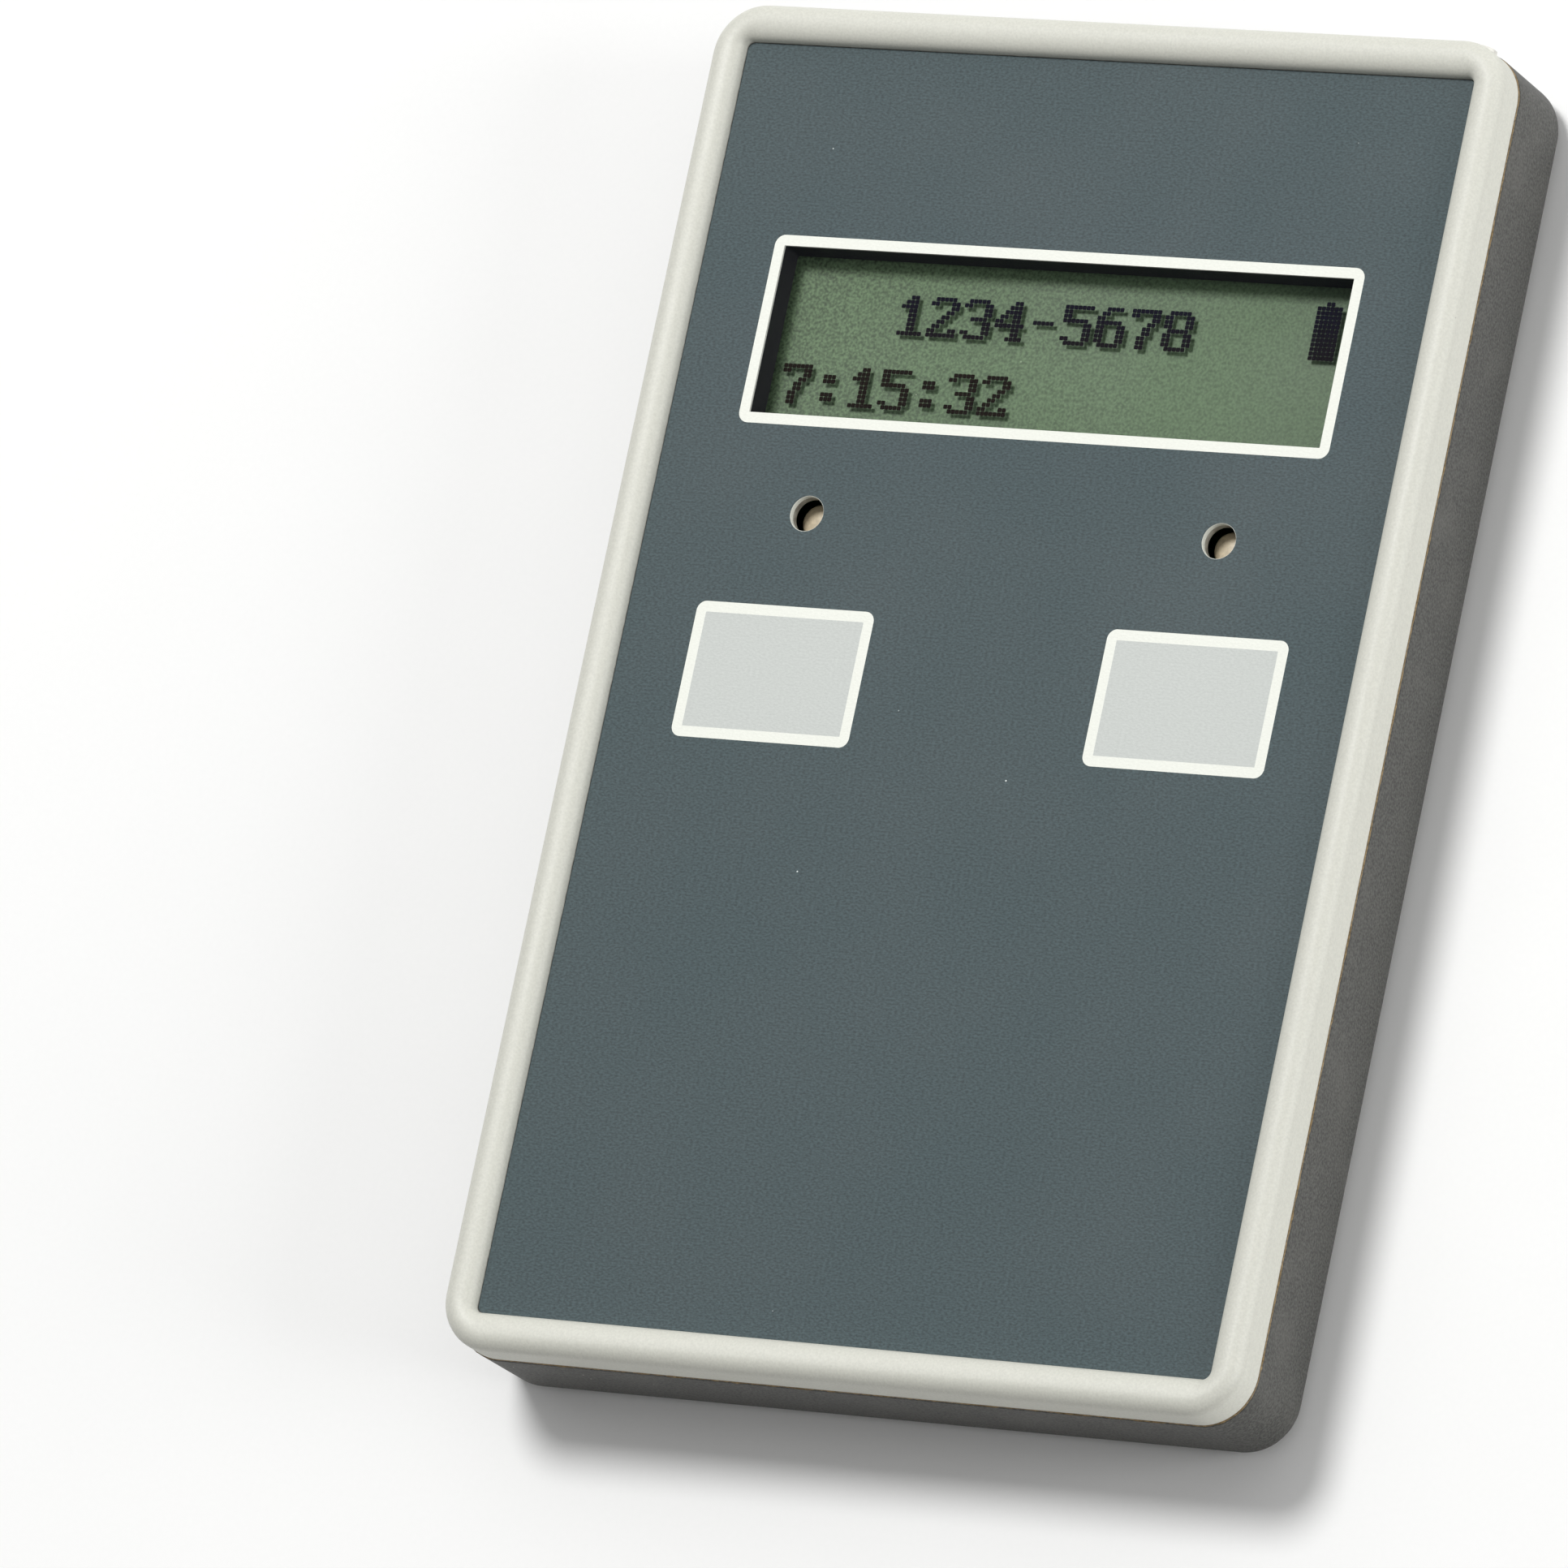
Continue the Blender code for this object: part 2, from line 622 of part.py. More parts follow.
def lcd_flex():
    """The flexible print from the glass ledge, bent down to the board."""
    ledge = WINDOW_Y + 0.5 * LCD_HEIGHT + LCD_LEDGE
    top = LCD_REAR_TOP + GAP + FLEX_THICKNESS
    foot = ON_BOARD + 0.5 * FLEX_THICKNESS
    bend = 0.5 * (top - foot)
    path = [(ledge - FLEX_OVERLAP, top)]
    for step in range(FLEX_STEPS + 1):
        turn = math.pi * (0.5 - step / FLEX_STEPS)
        path.append((ledge + 1.0 + bend * math.cos(turn), foot + bend * (1 + math.sin(turn))))
    path.append((ledge + 0.7, foot))
    bm = bmesh.new()
    verts = [bm.verts.new((-FLEX_HALF_WIDTH * MM, y * MM, z * MM)) for y, z in path]
    edges = [bm.edges.new(pair) for pair in zip(verts, verts[1:])]
    moved = bmesh.ops.extrude_edge_only(bm, edges=edges)["geom"]
    new_verts = [v for v in moved if isinstance(v, bmesh.types.BMVert)]
    bmesh.ops.translate(bm, vec=(2 * FLEX_HALF_WIDTH * MM, 0, 0), verts=new_verts)
    obj = piece("lcd_flex", bm, "flex_amber")
    sheet = obj.modifiers.new("sheet", "SOLIDIFY")
    sheet.thickness = FLEX_THICKNESS * MM
    sheet.offset = 0.0


def led(side, name):
    """A flat-topped LED on the board, reaching up into the pocket behind its hole."""
    shoulder = ON_BOARD + LED_FLANGE
    base = [(LED_RADIUS, shoulder), (LED_FLANGE_RADIUS, shoulder), (LED_FLANGE_RADIUS, ON_BOARD),
            (0.0, ON_BOARD)]
    top = dome(LED_RADIUS, LED_TOP - LED_EDGE, LED_EDGE, 4)
    return turned(name, top + base, (side * LED_X, LED_Y), "led_cream")


# ---------------------------------------------------------------- circuit board

def main_board():
    middle = 0.5 * (BOARD_LOW_Y + BOARD_HIGH_Y)
    board = piece("main_board", plate((0, middle), 2 * BOARD_HALF_WIDTH, BOARD_HIGH_Y - BOARD_LOW_Y,
                                      BOARD_BOTTOM, BOARD_TOP), "board_green")
    notch_x, notch_y = BOARD_NOTCH
    for side in (-1, 1):
        low_x, high_x = sorted((side * notch_x, side * (BOARD_HALF_WIDTH + 1)))
        cut(board, block((low_x, notch_y, BOARD_BOTTOM - 1), (high_x, BOARD_HIGH_Y + 1,
                         BOARD_TOP + 1)))
        x, y = side * BOARD_SCREW_X, BOARD_SCREW_Y
        cut(board, rod(BOARD_HOLE_RADIUS, (x, y, BOARD_BOTTOM - 1), (x, y, BOARD_TOP + 1), 16))


def chip(name, centre, side, rise):
    """A moulded chip on a wider, thin band of leads."""
    x, y = centre
    bm = plate(centre, side, side, ON_BOARD + CHIP_STANDOFF, ON_BOARD + rise)
    round_edges(bm, edges_at_height(bm, ON_BOARD + rise), 0.15, 1)
    body = piece(name, bm, "chip_black")
    leads = side + 2 * CHIP_LEAD
    join(body, plate(centre, leads, 0.7 * side, ON_BOARD, ON_BOARD + CHIP_LEAD_RISE))
    cut(body, rod(0.4, (x - 0.33 * side, y + 0.33 * side, ON_BOARD + rise - 0.15),
                  (x - 0.33 * side, y + 0.33 * side, ON_BOARD + rise + 1), 10))


def board_components():
    for name, (centre, side, rise) in CHIPS.items():
        chip(name, centre, side, rise)
    width, height, rise = RADIO_BOARD
    piece("radio_board", plate(RADIO_CENTRE, width, height, ON_BOARD, ON_BOARD + rise),
          "board_green")
    low = ON_BOARD + rise + GAP
    width, height, rise = RADIO_SHIELD
    bm = rounded_plate(RADIO_CENTRE, width, height, low, ON_BOARD + rise, 0.6, 2)
    piece("radio_shield", round_edges(bm, edges_at_height(bm, ON_BOARD + rise), 0.3, 2),
          "tinned_steel")
    width, height, rise = CRYSTAL
    top = ON_BOARD + rise
    bm = rounded_plate(CRYSTAL_CENTRE, width, height, ON_BOARD, top, CRYSTAL_CORNER, 4)
    piece("crystal", round_edges(bm, edges_at_height(bm, top), PART_EDGE, 2), "tinned_steel")
    width, height, rise = CAPACITOR
    top = ON_BOARD + rise
    bm = plate(CAPACITOR_CENTRE, width, height, ON_BOARD, top)
    piece("storage_capacitor", round_edges(bm, edges_at_height(bm, top), PART_EDGE, 1),
          "capacitor_ochre")
    x, y = BUZZER_CENTRE
    bm = rod(BUZZER_RADIUS, (x, y, ON_BOARD), (x, y, BUZZER_TOP), 28)
    round_edges(bm, edges_at_height(bm, BUZZER_TOP), BUZZER_EDGE, 2)
    buzzer = piece("buzzer", bm, "chip_black")
    port = rod(BUZZER_PORT_RADIUS, (x, y, BUZZER_PORT_LOW), (x, y, BUZZER_TOP + 1), BORE_STEPS)
    cut(buzzer, port)


def antenna():
    start, end = ANTENNA_X
    axis_z = ON_BOARD + ANTENNA_RADIUS + ANTENNA_WIRE + 0.2
    steps = ANTENNA_TURNS * ANTENNA_STEPS
    route = []
    for step in range(steps + 1):
        turn = math.tau * step / ANTENNA_STEPS
        x = start + (end - start) * step / steps
        route.append((x, ANTENNA_Y + ANTENNA_RADIUS * math.cos(turn),
                      axis_z + ANTENNA_RADIUS * math.sin(turn)))
    wire("antenna_coil", route, ANTENNA_WIRE, "gold_wire")


def charging_socket():
    high = ON_BOARD + SOCKET_RISE
    half = 0.5 * SOCKET_WIDTH
    bm = block((-half, SOCKET_BACK_Y, ON_BOARD), (half, SOCKET_MOUTH_Y, high))
    round_edges(bm, along_y(bm), SOCKET_CORNER, 2)
    shell = piece("charging_socket_shell", bm, "tinned_steel")
    wall = SOCKET_SHEET
    bm = block((wall - half, SOCKET_BACK_Y + wall, ON_BOARD + wall),
               (half - wall, SOCKET_MOUTH_Y + 1, high - wall))
    cut(shell, round_edges(bm, along_y(bm), SOCKET_CORNER - wall, 1))
    low = ON_BOARD + 0.5 * (SOCKET_RISE - TONGUE_THICKNESS)
    behind, before = TONGUE_INSET
    piece("charging_socket_tongue",
          block((-TONGUE_HALF_WIDTH, SOCKET_BACK_Y + behind, low),
                (TONGUE_HALF_WIDTH, SOCKET_MOUTH_Y - before, low + TONGUE_THICKNESS)),
          "chip_black")


# ---------------------------------------------------------------- cell and leads

def cell():
    centre = (0, 0.5 * (CELL_LOW_Y + CELL_HIGH_Y))
    height = CELL_HIGH_Y - CELL_LOW_Y
    bm = plate(centre, 2 * CELL_HALF_WIDTH, height, CELL_BOTTOM, CELL_TOP)
    piece("battery_cell", round_edges(bm, along_y(bm), CELL_EDGE_RADIUS, 4), "cell_silver")
    pad_width = 2 * (CELL_HALF_WIDTH - PAD_INSET)
    pad_height = height - 2 * PAD_INSET
    piece("cell_foam_pad", plate(centre, pad_width, pad_height, FLOOR + GAP, CELL_BOTTOM - GAP),
          "foam_black")
    piece("cell_top_pad", plate(centre, pad_width, pad_height, CELL_TOP + GAP, FRONT_RIM - GAP),
          "foam_black")
    piece("protection_board", block(*PROTECTION_BOARD), "board_green")


def cell_connector():
    header = piece("battery_header", block(*HEADER), "plug_white")
    cut(header, block(*HEADER_BORE))
    piece("battery_plug", block(*PLUG), "plug_white")
    red = [(22.4, -11.9, 6.0), (22.4, -13.0, 6.0), (20.4, -14.0, 5.9), (17.0, -13.9, 5.8),
           (13.5, -13.7, 5.75)]
    black = [(24.2, -11.9, 6.2), (24.2, -13.2, 6.7), (21.4, -14.2, 7.1), (15.0, -14.2, 7.1),
             (10.5, -13.8, 5.8)]
    wire("battery_lead_red", smooth_route(red, 5), LEAD_RADIUS, "lead_red")
    wire("battery_lead_black", smooth_route(black, 5), LEAD_RADIUS, "lead_black")


# ---------------------------------------------------------------- vibration motor

def motor():
    def on_axis(x):
        return x, MOTOR_Y, MOTOR_Z

    can = piece("motor_can", rod(MOTOR_RADIUS, on_axis(MOTOR_LOW_X), on_axis(MOTOR_HIGH_X)),
                "tinned_steel")
    bore = MOTOR_SHAFT_RADIUS + GAP
    bore_end = on_axis(MOTOR_HIGH_X - MOTOR_BORE_DEPTH)
    cut(can, rod(bore, bore_end, on_axis(MOTOR_HIGH_X + 1), BORE_STEPS))
    boot_radius = MOTOR_RADIUS + GAP + BOOT_WALL
    bm = rod(boot_radius, on_axis(MOTOR_LOW_X + BOOT_INSET), on_axis(MOTOR_HIGH_X - BOOT_INSET), 28)
    boot = piece("motor_boot", bm, "rubber_black")
    cut(boot, rod(MOTOR_RADIUS + GAP, on_axis(MOTOR_LOW_X), on_axis(MOTOR_HIGH_X)))
    piece("motor_shaft", rod(MOTOR_SHAFT_RADIUS, on_axis(MOTOR_HIGH_X - MOTOR_SHAFT_INSIDE),
                             on_axis(MOTOR_SHAFT_END_X), BORE_STEPS), "screw_steel",
          on_axis(MOTOR_HIGH_X))
    weight = piece("motor_weight", rod(WEIGHT_RADIUS, on_axis(WEIGHT_LOW_X),
                                       on_axis(WEIGHT_HIGH_X)), "tungsten",
                   on_axis(WEIGHT_LOW_X))
    cut(weight, block((WEIGHT_LOW_X - 1, MOTOR_Y - 4, MOTOR_Z + WEIGHT_FLAT),
                      (WEIGHT_HIGH_X + 1, MOTOR_Y + 4, MOTOR_Z + 4)))
    cut(weight, rod(bore, on_axis(WEIGHT_LOW_X - 1), on_axis(WEIGHT_HIGH_X + 1), BORE_STEPS))
    red = [(1.2, -51.4, 6.4), (-2.0, -51.6, 6.4), (-12.0, -51.3, 6.0), (-21.0, -50.6, 5.6),
           (-25.4, -48.4, 5.4), (-27.0, -44.5, 5.2), (-27.2, -36.0, 5.0), (-27.2, -20.0, 5.0),
           (-26.7, -13.0, 5.4), (-25.4, -9.6, 5.2), (-25.0, -7.8, 4.8)]
    black = [(1.2, -51.4, 4.8), (-2.0, -51.4, 4.6), (-12.0, -52.2, 4.3), (-21.0, -51.6, 4.1),
             (-25.7, -48.0, 3.9), (-28.2, -44.0, 4.0), (-28.5, -36.0, 4.3), (-28.5, -20.0, 4.5),
             (-28.0, -13.6, 5.2), (-26.7, -10.2, 5.3), (-26.3, -7.8, 4.8)]
    wire("motor_lead_red", smooth_route(red, 3), LEAD_RADIUS, "lead_red")
    wire("motor_lead_black", smooth_route(black, 3), LEAD_RADIUS, "lead_black")


# ---------------------------------------------------------------- assembly

def build():
    back_shell()
    front_shell()
    end_strip()
    front_foil()
    display_window()
    for number, (x, y) in enumerate(corners(CASE_SCREW_X, CASE_SCREW_Y), 1):
        case_screw(number, x, y)
    for side, prefix in ((-1, "left"), (1, "right")):
        key(side, f"{prefix}_key")
        key_switch(side, prefix)
        led(side, f"{prefix}_led")
        board_screw(f"{prefix}_board_screw", side * BOARD_SCREW_X, BOARD_SCREW_Y)
    display_stack()
    lcd_flex()
    main_board()
    board_components()
    antenna()
    charging_socket()
    cell()
    cell_connector()
    motor()


clear_scene()
PIECES = new_collection("pager")
TOOLS = new_collection("pager_cutters")
build()
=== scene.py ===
"""The pager's looks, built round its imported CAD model.

The frame is in metres. The pager lies on its back: +X is its right side, +Y its top end and
+Z points out of the display. Sizes named here are millimetres unless they say otherwise;
places come from the boxes of the CAD nodes.
"""
import json
import math

import bmesh
import bpy
from mathutils import Matrix, Vector, noise


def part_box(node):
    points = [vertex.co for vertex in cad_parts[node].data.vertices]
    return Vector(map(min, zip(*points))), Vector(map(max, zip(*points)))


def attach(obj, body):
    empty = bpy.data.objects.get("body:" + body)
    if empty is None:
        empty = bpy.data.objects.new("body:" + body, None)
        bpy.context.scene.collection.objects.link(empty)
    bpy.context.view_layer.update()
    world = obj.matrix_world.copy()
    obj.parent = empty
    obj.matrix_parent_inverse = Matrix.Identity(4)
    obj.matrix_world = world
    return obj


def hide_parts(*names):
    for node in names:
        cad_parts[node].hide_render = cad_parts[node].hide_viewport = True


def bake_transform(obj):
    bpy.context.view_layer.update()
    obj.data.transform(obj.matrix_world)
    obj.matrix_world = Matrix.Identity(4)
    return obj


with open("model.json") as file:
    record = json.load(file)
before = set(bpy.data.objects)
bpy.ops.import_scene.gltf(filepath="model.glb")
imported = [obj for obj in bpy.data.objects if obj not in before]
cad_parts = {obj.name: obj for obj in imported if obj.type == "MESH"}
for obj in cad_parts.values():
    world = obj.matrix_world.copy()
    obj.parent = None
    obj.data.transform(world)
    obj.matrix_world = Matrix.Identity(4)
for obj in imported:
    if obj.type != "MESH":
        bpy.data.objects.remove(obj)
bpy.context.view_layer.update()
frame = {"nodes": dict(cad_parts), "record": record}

MM = 0.001

# Camera: its aim in the display's plane, its distance and how it is turned, in degrees
CAMERA_AIM = (-15.70, -8.39, 11.80)
CAMERA_DISTANCE = 1424.4
CAMERA_AZIMUTH = 63.722
CAMERA_ELEVATION = 57.670
CAMERA_ROLL = -55.395
CAMERA_LENS = 404.78
SENSOR_WIDTH = 36.0

# Light: the sky's strength towards the pager's lower end and towards its top end, and the Y of
# the directions between which it changes, then each soft box's azimuth and elevation (degrees),
# distance (m), size (m) and power (W)
SKY_STRENGTH = (0.12, 0.62)
SKY_FADE = (-0.8, 0.8)
SOFT_BOXES = {
    "key_light": (209.0, 65.0, 1.2, 0.35, 9.6),
    "right_fill": (88.0, 18.0, 1.2, 0.60, 6.0),
}
FLOOR_SIDE = 8000.0

# The gap that the CAD keeps between neighbours, and how far a cutter runs past what it cuts
CAD_GAP = 0.3
CUT_PAST = 1.0
CUT_FAR_PAST = 5.0

# Both halves of the case
CORNER_RADIUS = 4.4
CORNER_STEPS = 16
SEAM_HALF_GAP = 0.04
SCREWS = range(1, 5)

# Front shell: the bead, the lip inside the back shell, the film's bed and the screw posts
BEAD_RADIUS = 1.3
BEAD_GAP = 0.04
BEAD_STEPS = 10
BEAD_FULLNESS = 0.88
RIM_CHAMFER = 0.12
LIP_INSET = 2.3
LIP_WALL = 1.0
LIP_DEPTH = 1.0
PLATE_UNDERSIDE = 0.2
BED_GAP = 0.06
POST_RADIUS = 2.8
POST_TOP = 9.9
POST_BORE_RADIUS = 1.2
POST_BORE_TOP = 8.9
POST_STEPS = 32
OPENINGS_LOW = 8.0
DISPLAY_OPENING_GAP = 0.06
DISPLAY_OPENING_CORNER = 0.5
KEY_OPENING_GAP = 0.5
KEY_OPENING_CORNER = 0.6
LED_POCKET_GAP = 0.2

# Back shell: its wall, where BACK_PROUD_BAND is how far below the rim the wall stands proud
BACK_EDGE_RADIUS = 2.0
BACK_EDGE_STEPS = 12
BACK_WALL = 2.0
BACK_FLOOR = 1.5
BACK_PROUD = 0.07
BACK_PROUD_BAND = (0.22, 0.16)
BACK_RIM_INSET = 0.05
FLOOR_FILLET = 1.2
FLOOR_FILLET_STEPS = 6

# Its bosses and wells as (radius, height) points, its two ribs beside the cell as half length,
# distances from the cell to the near and far faces, and top, and its socket opening
BOSS = ((3.6, 0.8), (3.6, 3.8), (3.4, 4.0))
BOSS_STEPS = 40
BOSS_BORE = ((1.3, 1.0), (1.3, 5.0))
BOSS_BORE_STEPS = 32
SCREW_WELL = ((3.1, -0.3), (3.1, 0.0), (2.8, 0.25), (2.8, 2.2))
RIB_LOW = 0.8
RIB_EDGE = 0.2
UPPER_RIB = (18, 3.9, 4.9, 6.0)
LOWER_RIB = (20, 0.2, 1.2, 4.8)
SOCKET_CLEARANCE = 0.35
SOCKET_CORNER = 0.9
SOCKET_CUT_IN = 0.5

# The strip along the top end, and the squeeze-out in the seam: its section as (reach, rise)
# points, how far it comes out, and its lumps as (depth, number per millimetre)
GROOVE_GAP = 0.06
STRIP_PROUD = 0.3
STRIP_EDGE = 0.15
FLASH_SPACING = 0.35
FLASH_SECTION = ((-0.6, -0.03), (0.0, -0.05), (1.0, 0.0), (0.0, 0.05), (-0.6, 0.03))
FLASH_REACH = 0.05
FLASH_LEAST = 0.01
FLASH_LUMPS = ((0.07, 0.9), (0.06, 3.1))

# Case screws
HEAD_UNDERSIDE = 1.9
CORE_RADIUS = 0.78
THREAD_RADIUS = 1.02
THREAD_PITCH = 0.55
THREAD_START = 0.3
THREAD_END = 1.2
POINT_RADIUS = 0.1
CROSS_MOUTH = (1.45, 0.24)
CROSS_BOTTOM = (0.75, 0.16)
CROSS_DEPTH = 0.95
CROSS_TURN = 0.37

# Film
FILM = 0.22
FILM_EDGE = 0.02
FILM_CORNER = 0.6
SHARP_CORNER = 0.06
PRINT_LINE = 0.91
WINDOW_CORNER = 0.9
WINDOW_SUNK = 0.02
LED_HOLE_RADIUS = 1.5
LED_SHELL_WALL = 0.95
# The ring of painted light on each LED hole's wall: its depth, its width and how far below the
# film's top it starts
HOLE_LIGHT_DEPTH = 0.50
HOLE_LIGHT_WIDTH = 0.03
HOLE_LIGHT_BELOW = 0.05
HOLE_CLEARANCE = 0.04

# Keys: the flat field, its border and the actuator below
KEY_FIELD = (14.57, 9.75)
KEY_CORNER = 0.85
KEY_MARGIN = 0.26
KEY_MARGIN_CORNER = 1.1
BORDER_STEPS = 6
MARGIN_STEPS = 3
ACTUATOR_INSET = 0.8
ACTUATOR_CORNER = 0.8
ACTUATOR_DEPTH = 1.2
STEM_RADIUS = 2.5
STEM_CHAMFER = 0.2
STEM_SUNK = 1.0

# Display: the black frame, with its gaps below and above and the width and height of its foot,
# then the glass and the dots
FRAME_CORNER = 0.5
FRAME_INNER_CORNER = 0.2
FRAME_GAPS = (0.04, 0.02)
FRAME_SET_BACK = 0.06
FRAME_FOOT = (0.12, 0.5)
GLASS_EDGE = 0.05
DOT_PITCH = 0.384
DOT_SHARE = 0.93
DOT_CORNER = 0.05
DOT_THICKNESS = 0.03
DOT_LIFT = 0.005
DOT_DEPTH = 0.50
GLYPH_CELL = 8

# What the display says, with the X and Y of each line's upper left dot corner
TOP_TEXT = ("1234-5678", -15.98, 34.35)
LOW_TEXT = ("7:15:32", -25.22, 27.93)
BATTERY_SIGN = (22.08, 35.87)

# Each glyph's rows of dots, top row first
GLYPHS = {
    "0": ".#####.|##...##|##..###|##.####|####.##|###..##|##...##|##...##|.#####.",
    "1": "...##..|..###..|.####..|...##..|...##..|...##..|...##..|...##..|.######",
    "2": ".#####.|##...##|.....##|....##.|...##..|..##...|.##....|##...##|#######",
    "3": ".#####.|##...##|.....##|.....##|..####.|.....##|.....##|##...##|.#####.",
    "4": "....##.|...###.|..####.|.##.##.|##..##.|#######|....##.|....##.|...####",
    "5": "#######|##.....|##.....|######.|.....##|.....##|.....##|##...##|.#####.",
    "6": "..####.|.##....|##.....|######.|##...##|##...##|##...##|##...##|.#####.",
    "7": "#######|##...##|.....##|....##.|...##..|...##..|..##...|..##...|..##...",
    "8": ".#####.|##...##|##...##|##...##|.#####.|##...##|##...##|##...##|.#####.",
    "-": ".......|.......|.......|.......|.#####.|.......|.......|.......|.......",
    ":": ".......|.......|..###..|..###..|.......|.......|..###..|..###..|.......",
}
BATTERY_GLYPH = "|".join(["..##.."] + ["######"] * 12)

# LEDs: the flange's shoulder and base, then the rounded rim and the dish of the top
LED_SHOULDER = 0.4
LED_BASE = 1.0
LED_BASE_EDGE = 0.1
LED_RIM = 0.3
LED_RIM_STEPS = 6
LED_DISH = 0.02

# Foam pads, which bulge towards their middle by a share of their half thickness
PAD_EDGE = 0.6
PAD_CORNER = 1.5
PAD_STEPS = 8
PAD_CROWN = 0.2
PAD_CROWN_SHARES = (0.85, 0.6, 0.35, 0.1)


# ---------------------------------------------------------------- mesh helpers

def span(node):
    """Centre and half size of a CAD node's box, in millimetres."""
    low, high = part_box(node)
    return 0.5 * (low + high) / MM, 0.5 * (high - low) / MM


def edges_of(node):
    """Lowest and highest corner of a CAD node's box, in millimetres."""
    low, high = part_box(node)
    return low / MM, high / MM


def outline(half, radius, z, centre=(0.0, 0.0), steps=CORNER_STEPS):
    """The four corners of a rounded rectangle at one height, each a list of points."""
    corners = []
    for quarter, (sx, sy) in enumerate(((1, 1), (-1, 1), (-1, -1), (1, -1))):
        x = centre[0] + sx * (half[0] - radius)
        y = centre[1] + sy * (half[1] - radius)
        turns = [0.5 * math.pi * (quarter + step / steps) for step in range(steps + 1)]
        corners.append([(x + radius * math.cos(t), y + radius * math.sin(t), z) for t in turns])
    return corners


def ring(half, radius, z, centre=(0.0, 0.0), steps=CORNER_STEPS):
    return sum(outline(half, radius, z, centre, steps), [])


def circle(centre, radius, z, steps=64):
    turns = [math.tau * step / steps for step in range(steps)]
    x, y = centre[:2]
    return [(x + radius * math.cos(t), y + radius * math.sin(t), z) for t in turns]


def loft(rings, closed=False):
    """A skin over rings of equal length, capped at both ends or closed into a loop."""
    bm = bmesh.new()
    loops = [[bm.verts.new(Vector(p) * MM) for p in points] for points in rings]
    pairs = list(zip(loops, loops[1:]))
    if closed:
        pairs.append((loops[-1], loops[0]))
    else:
        bm.faces.new(list(reversed(loops[0])))
        bm.faces.new(loops[-1])
    for low, high in pairs:
        for i in range(len(low)):
            j = (i + 1) % len(low)
            bm.faces.new((low[i], low[j], high[j], high[i]))
    bmesh.ops.recalc_face_normals(bm, faces=bm.faces)
    return bm


def block(low, high, radius=0.0, segments=3):
    bm = bmesh.new()
    bmesh.ops.create_cube(bm, size=1.0)
    low = Vector(low) * MM
    high = Vector(high) * MM
    bmesh.ops.scale(bm, vec=high - low, verts=bm.verts)
    bmesh.ops.translate(bm, vec=0.5 * (high + low), verts=bm.verts)
    if radius:
        bmesh.ops.bevel(bm, geom=bm.edges, offset=radius * MM, segments=segments, profile=0.5,
                        affect="EDGES", clamp_overlap=True)
    return bm


def turned(centre, profile, steps=64):
    """A turned solid from (radius, height) points, lowest first or last, off the axis."""
    return loft([circle(centre, radius, z, steps) for radius, z in profile])


def make(name, bm, *materials):
    mesh = bpy.data.meshes.new(name)
    bm.to_mesh(mesh)
    bm.free()
    obj = bpy.data.objects.new(name, mesh)
    bpy.context.scene.collection.objects.link(obj)
    for material in materials:
        mesh.materials.append(material)
    return obj


def carve(obj, cutters, operation="DIFFERENCE"):
    """Cut shapes out of a piece, or join them to it, and keep the result as its mesh."""
    tools = [make(f"{obj.name}_tool", bm) for bm in cutters]
    for tool in tools:
        modifier = obj.modifiers.new("shape", "BOOLEAN")
        modifier.operation = operation
        modifier.solver = "EXACT"
        modifier.object = tool
    graph = bpy.context.evaluated_depsgraph_get()
    mesh = bpy.data.meshes.new_from_object(obj.evaluated_get(graph))
    obj.modifiers.clear()
    obj.data = mesh
    for tool in tools:
        bpy.data.objects.remove(tool)
    return obj


def smooth(obj, angle=32.0):
    obj.data.shade_smooth()
    obj.data.set_sharp_from_angle(angle=math.radians(angle))
    return obj


def settle(obj, body, slot, *nodes):
    """Smooth a finished piece, let it ride on its body and hide the CAD nodes it stands for. The
    slot is not used.
    """
    smooth(obj)
    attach(obj, body)
    if nodes:
        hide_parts(*nodes)
    return obj


# ---------------------------------------------------------------- materials

def srgb(red, green, blue):
    """A linear colour with alpha from display values of 0 to 255."""
    channels = [c / 255.0 for c in (red, green, blue)]
    linear = [c / 12.92 if c <= 0.04045 else ((c + 0.055) / 1.055) ** 2.4 for c in channels]
    return (*linear, 1.0)


def scaled(colour, factor):
    return (*(min(1.0, c * factor) for c in colour[:3]), 1.0)


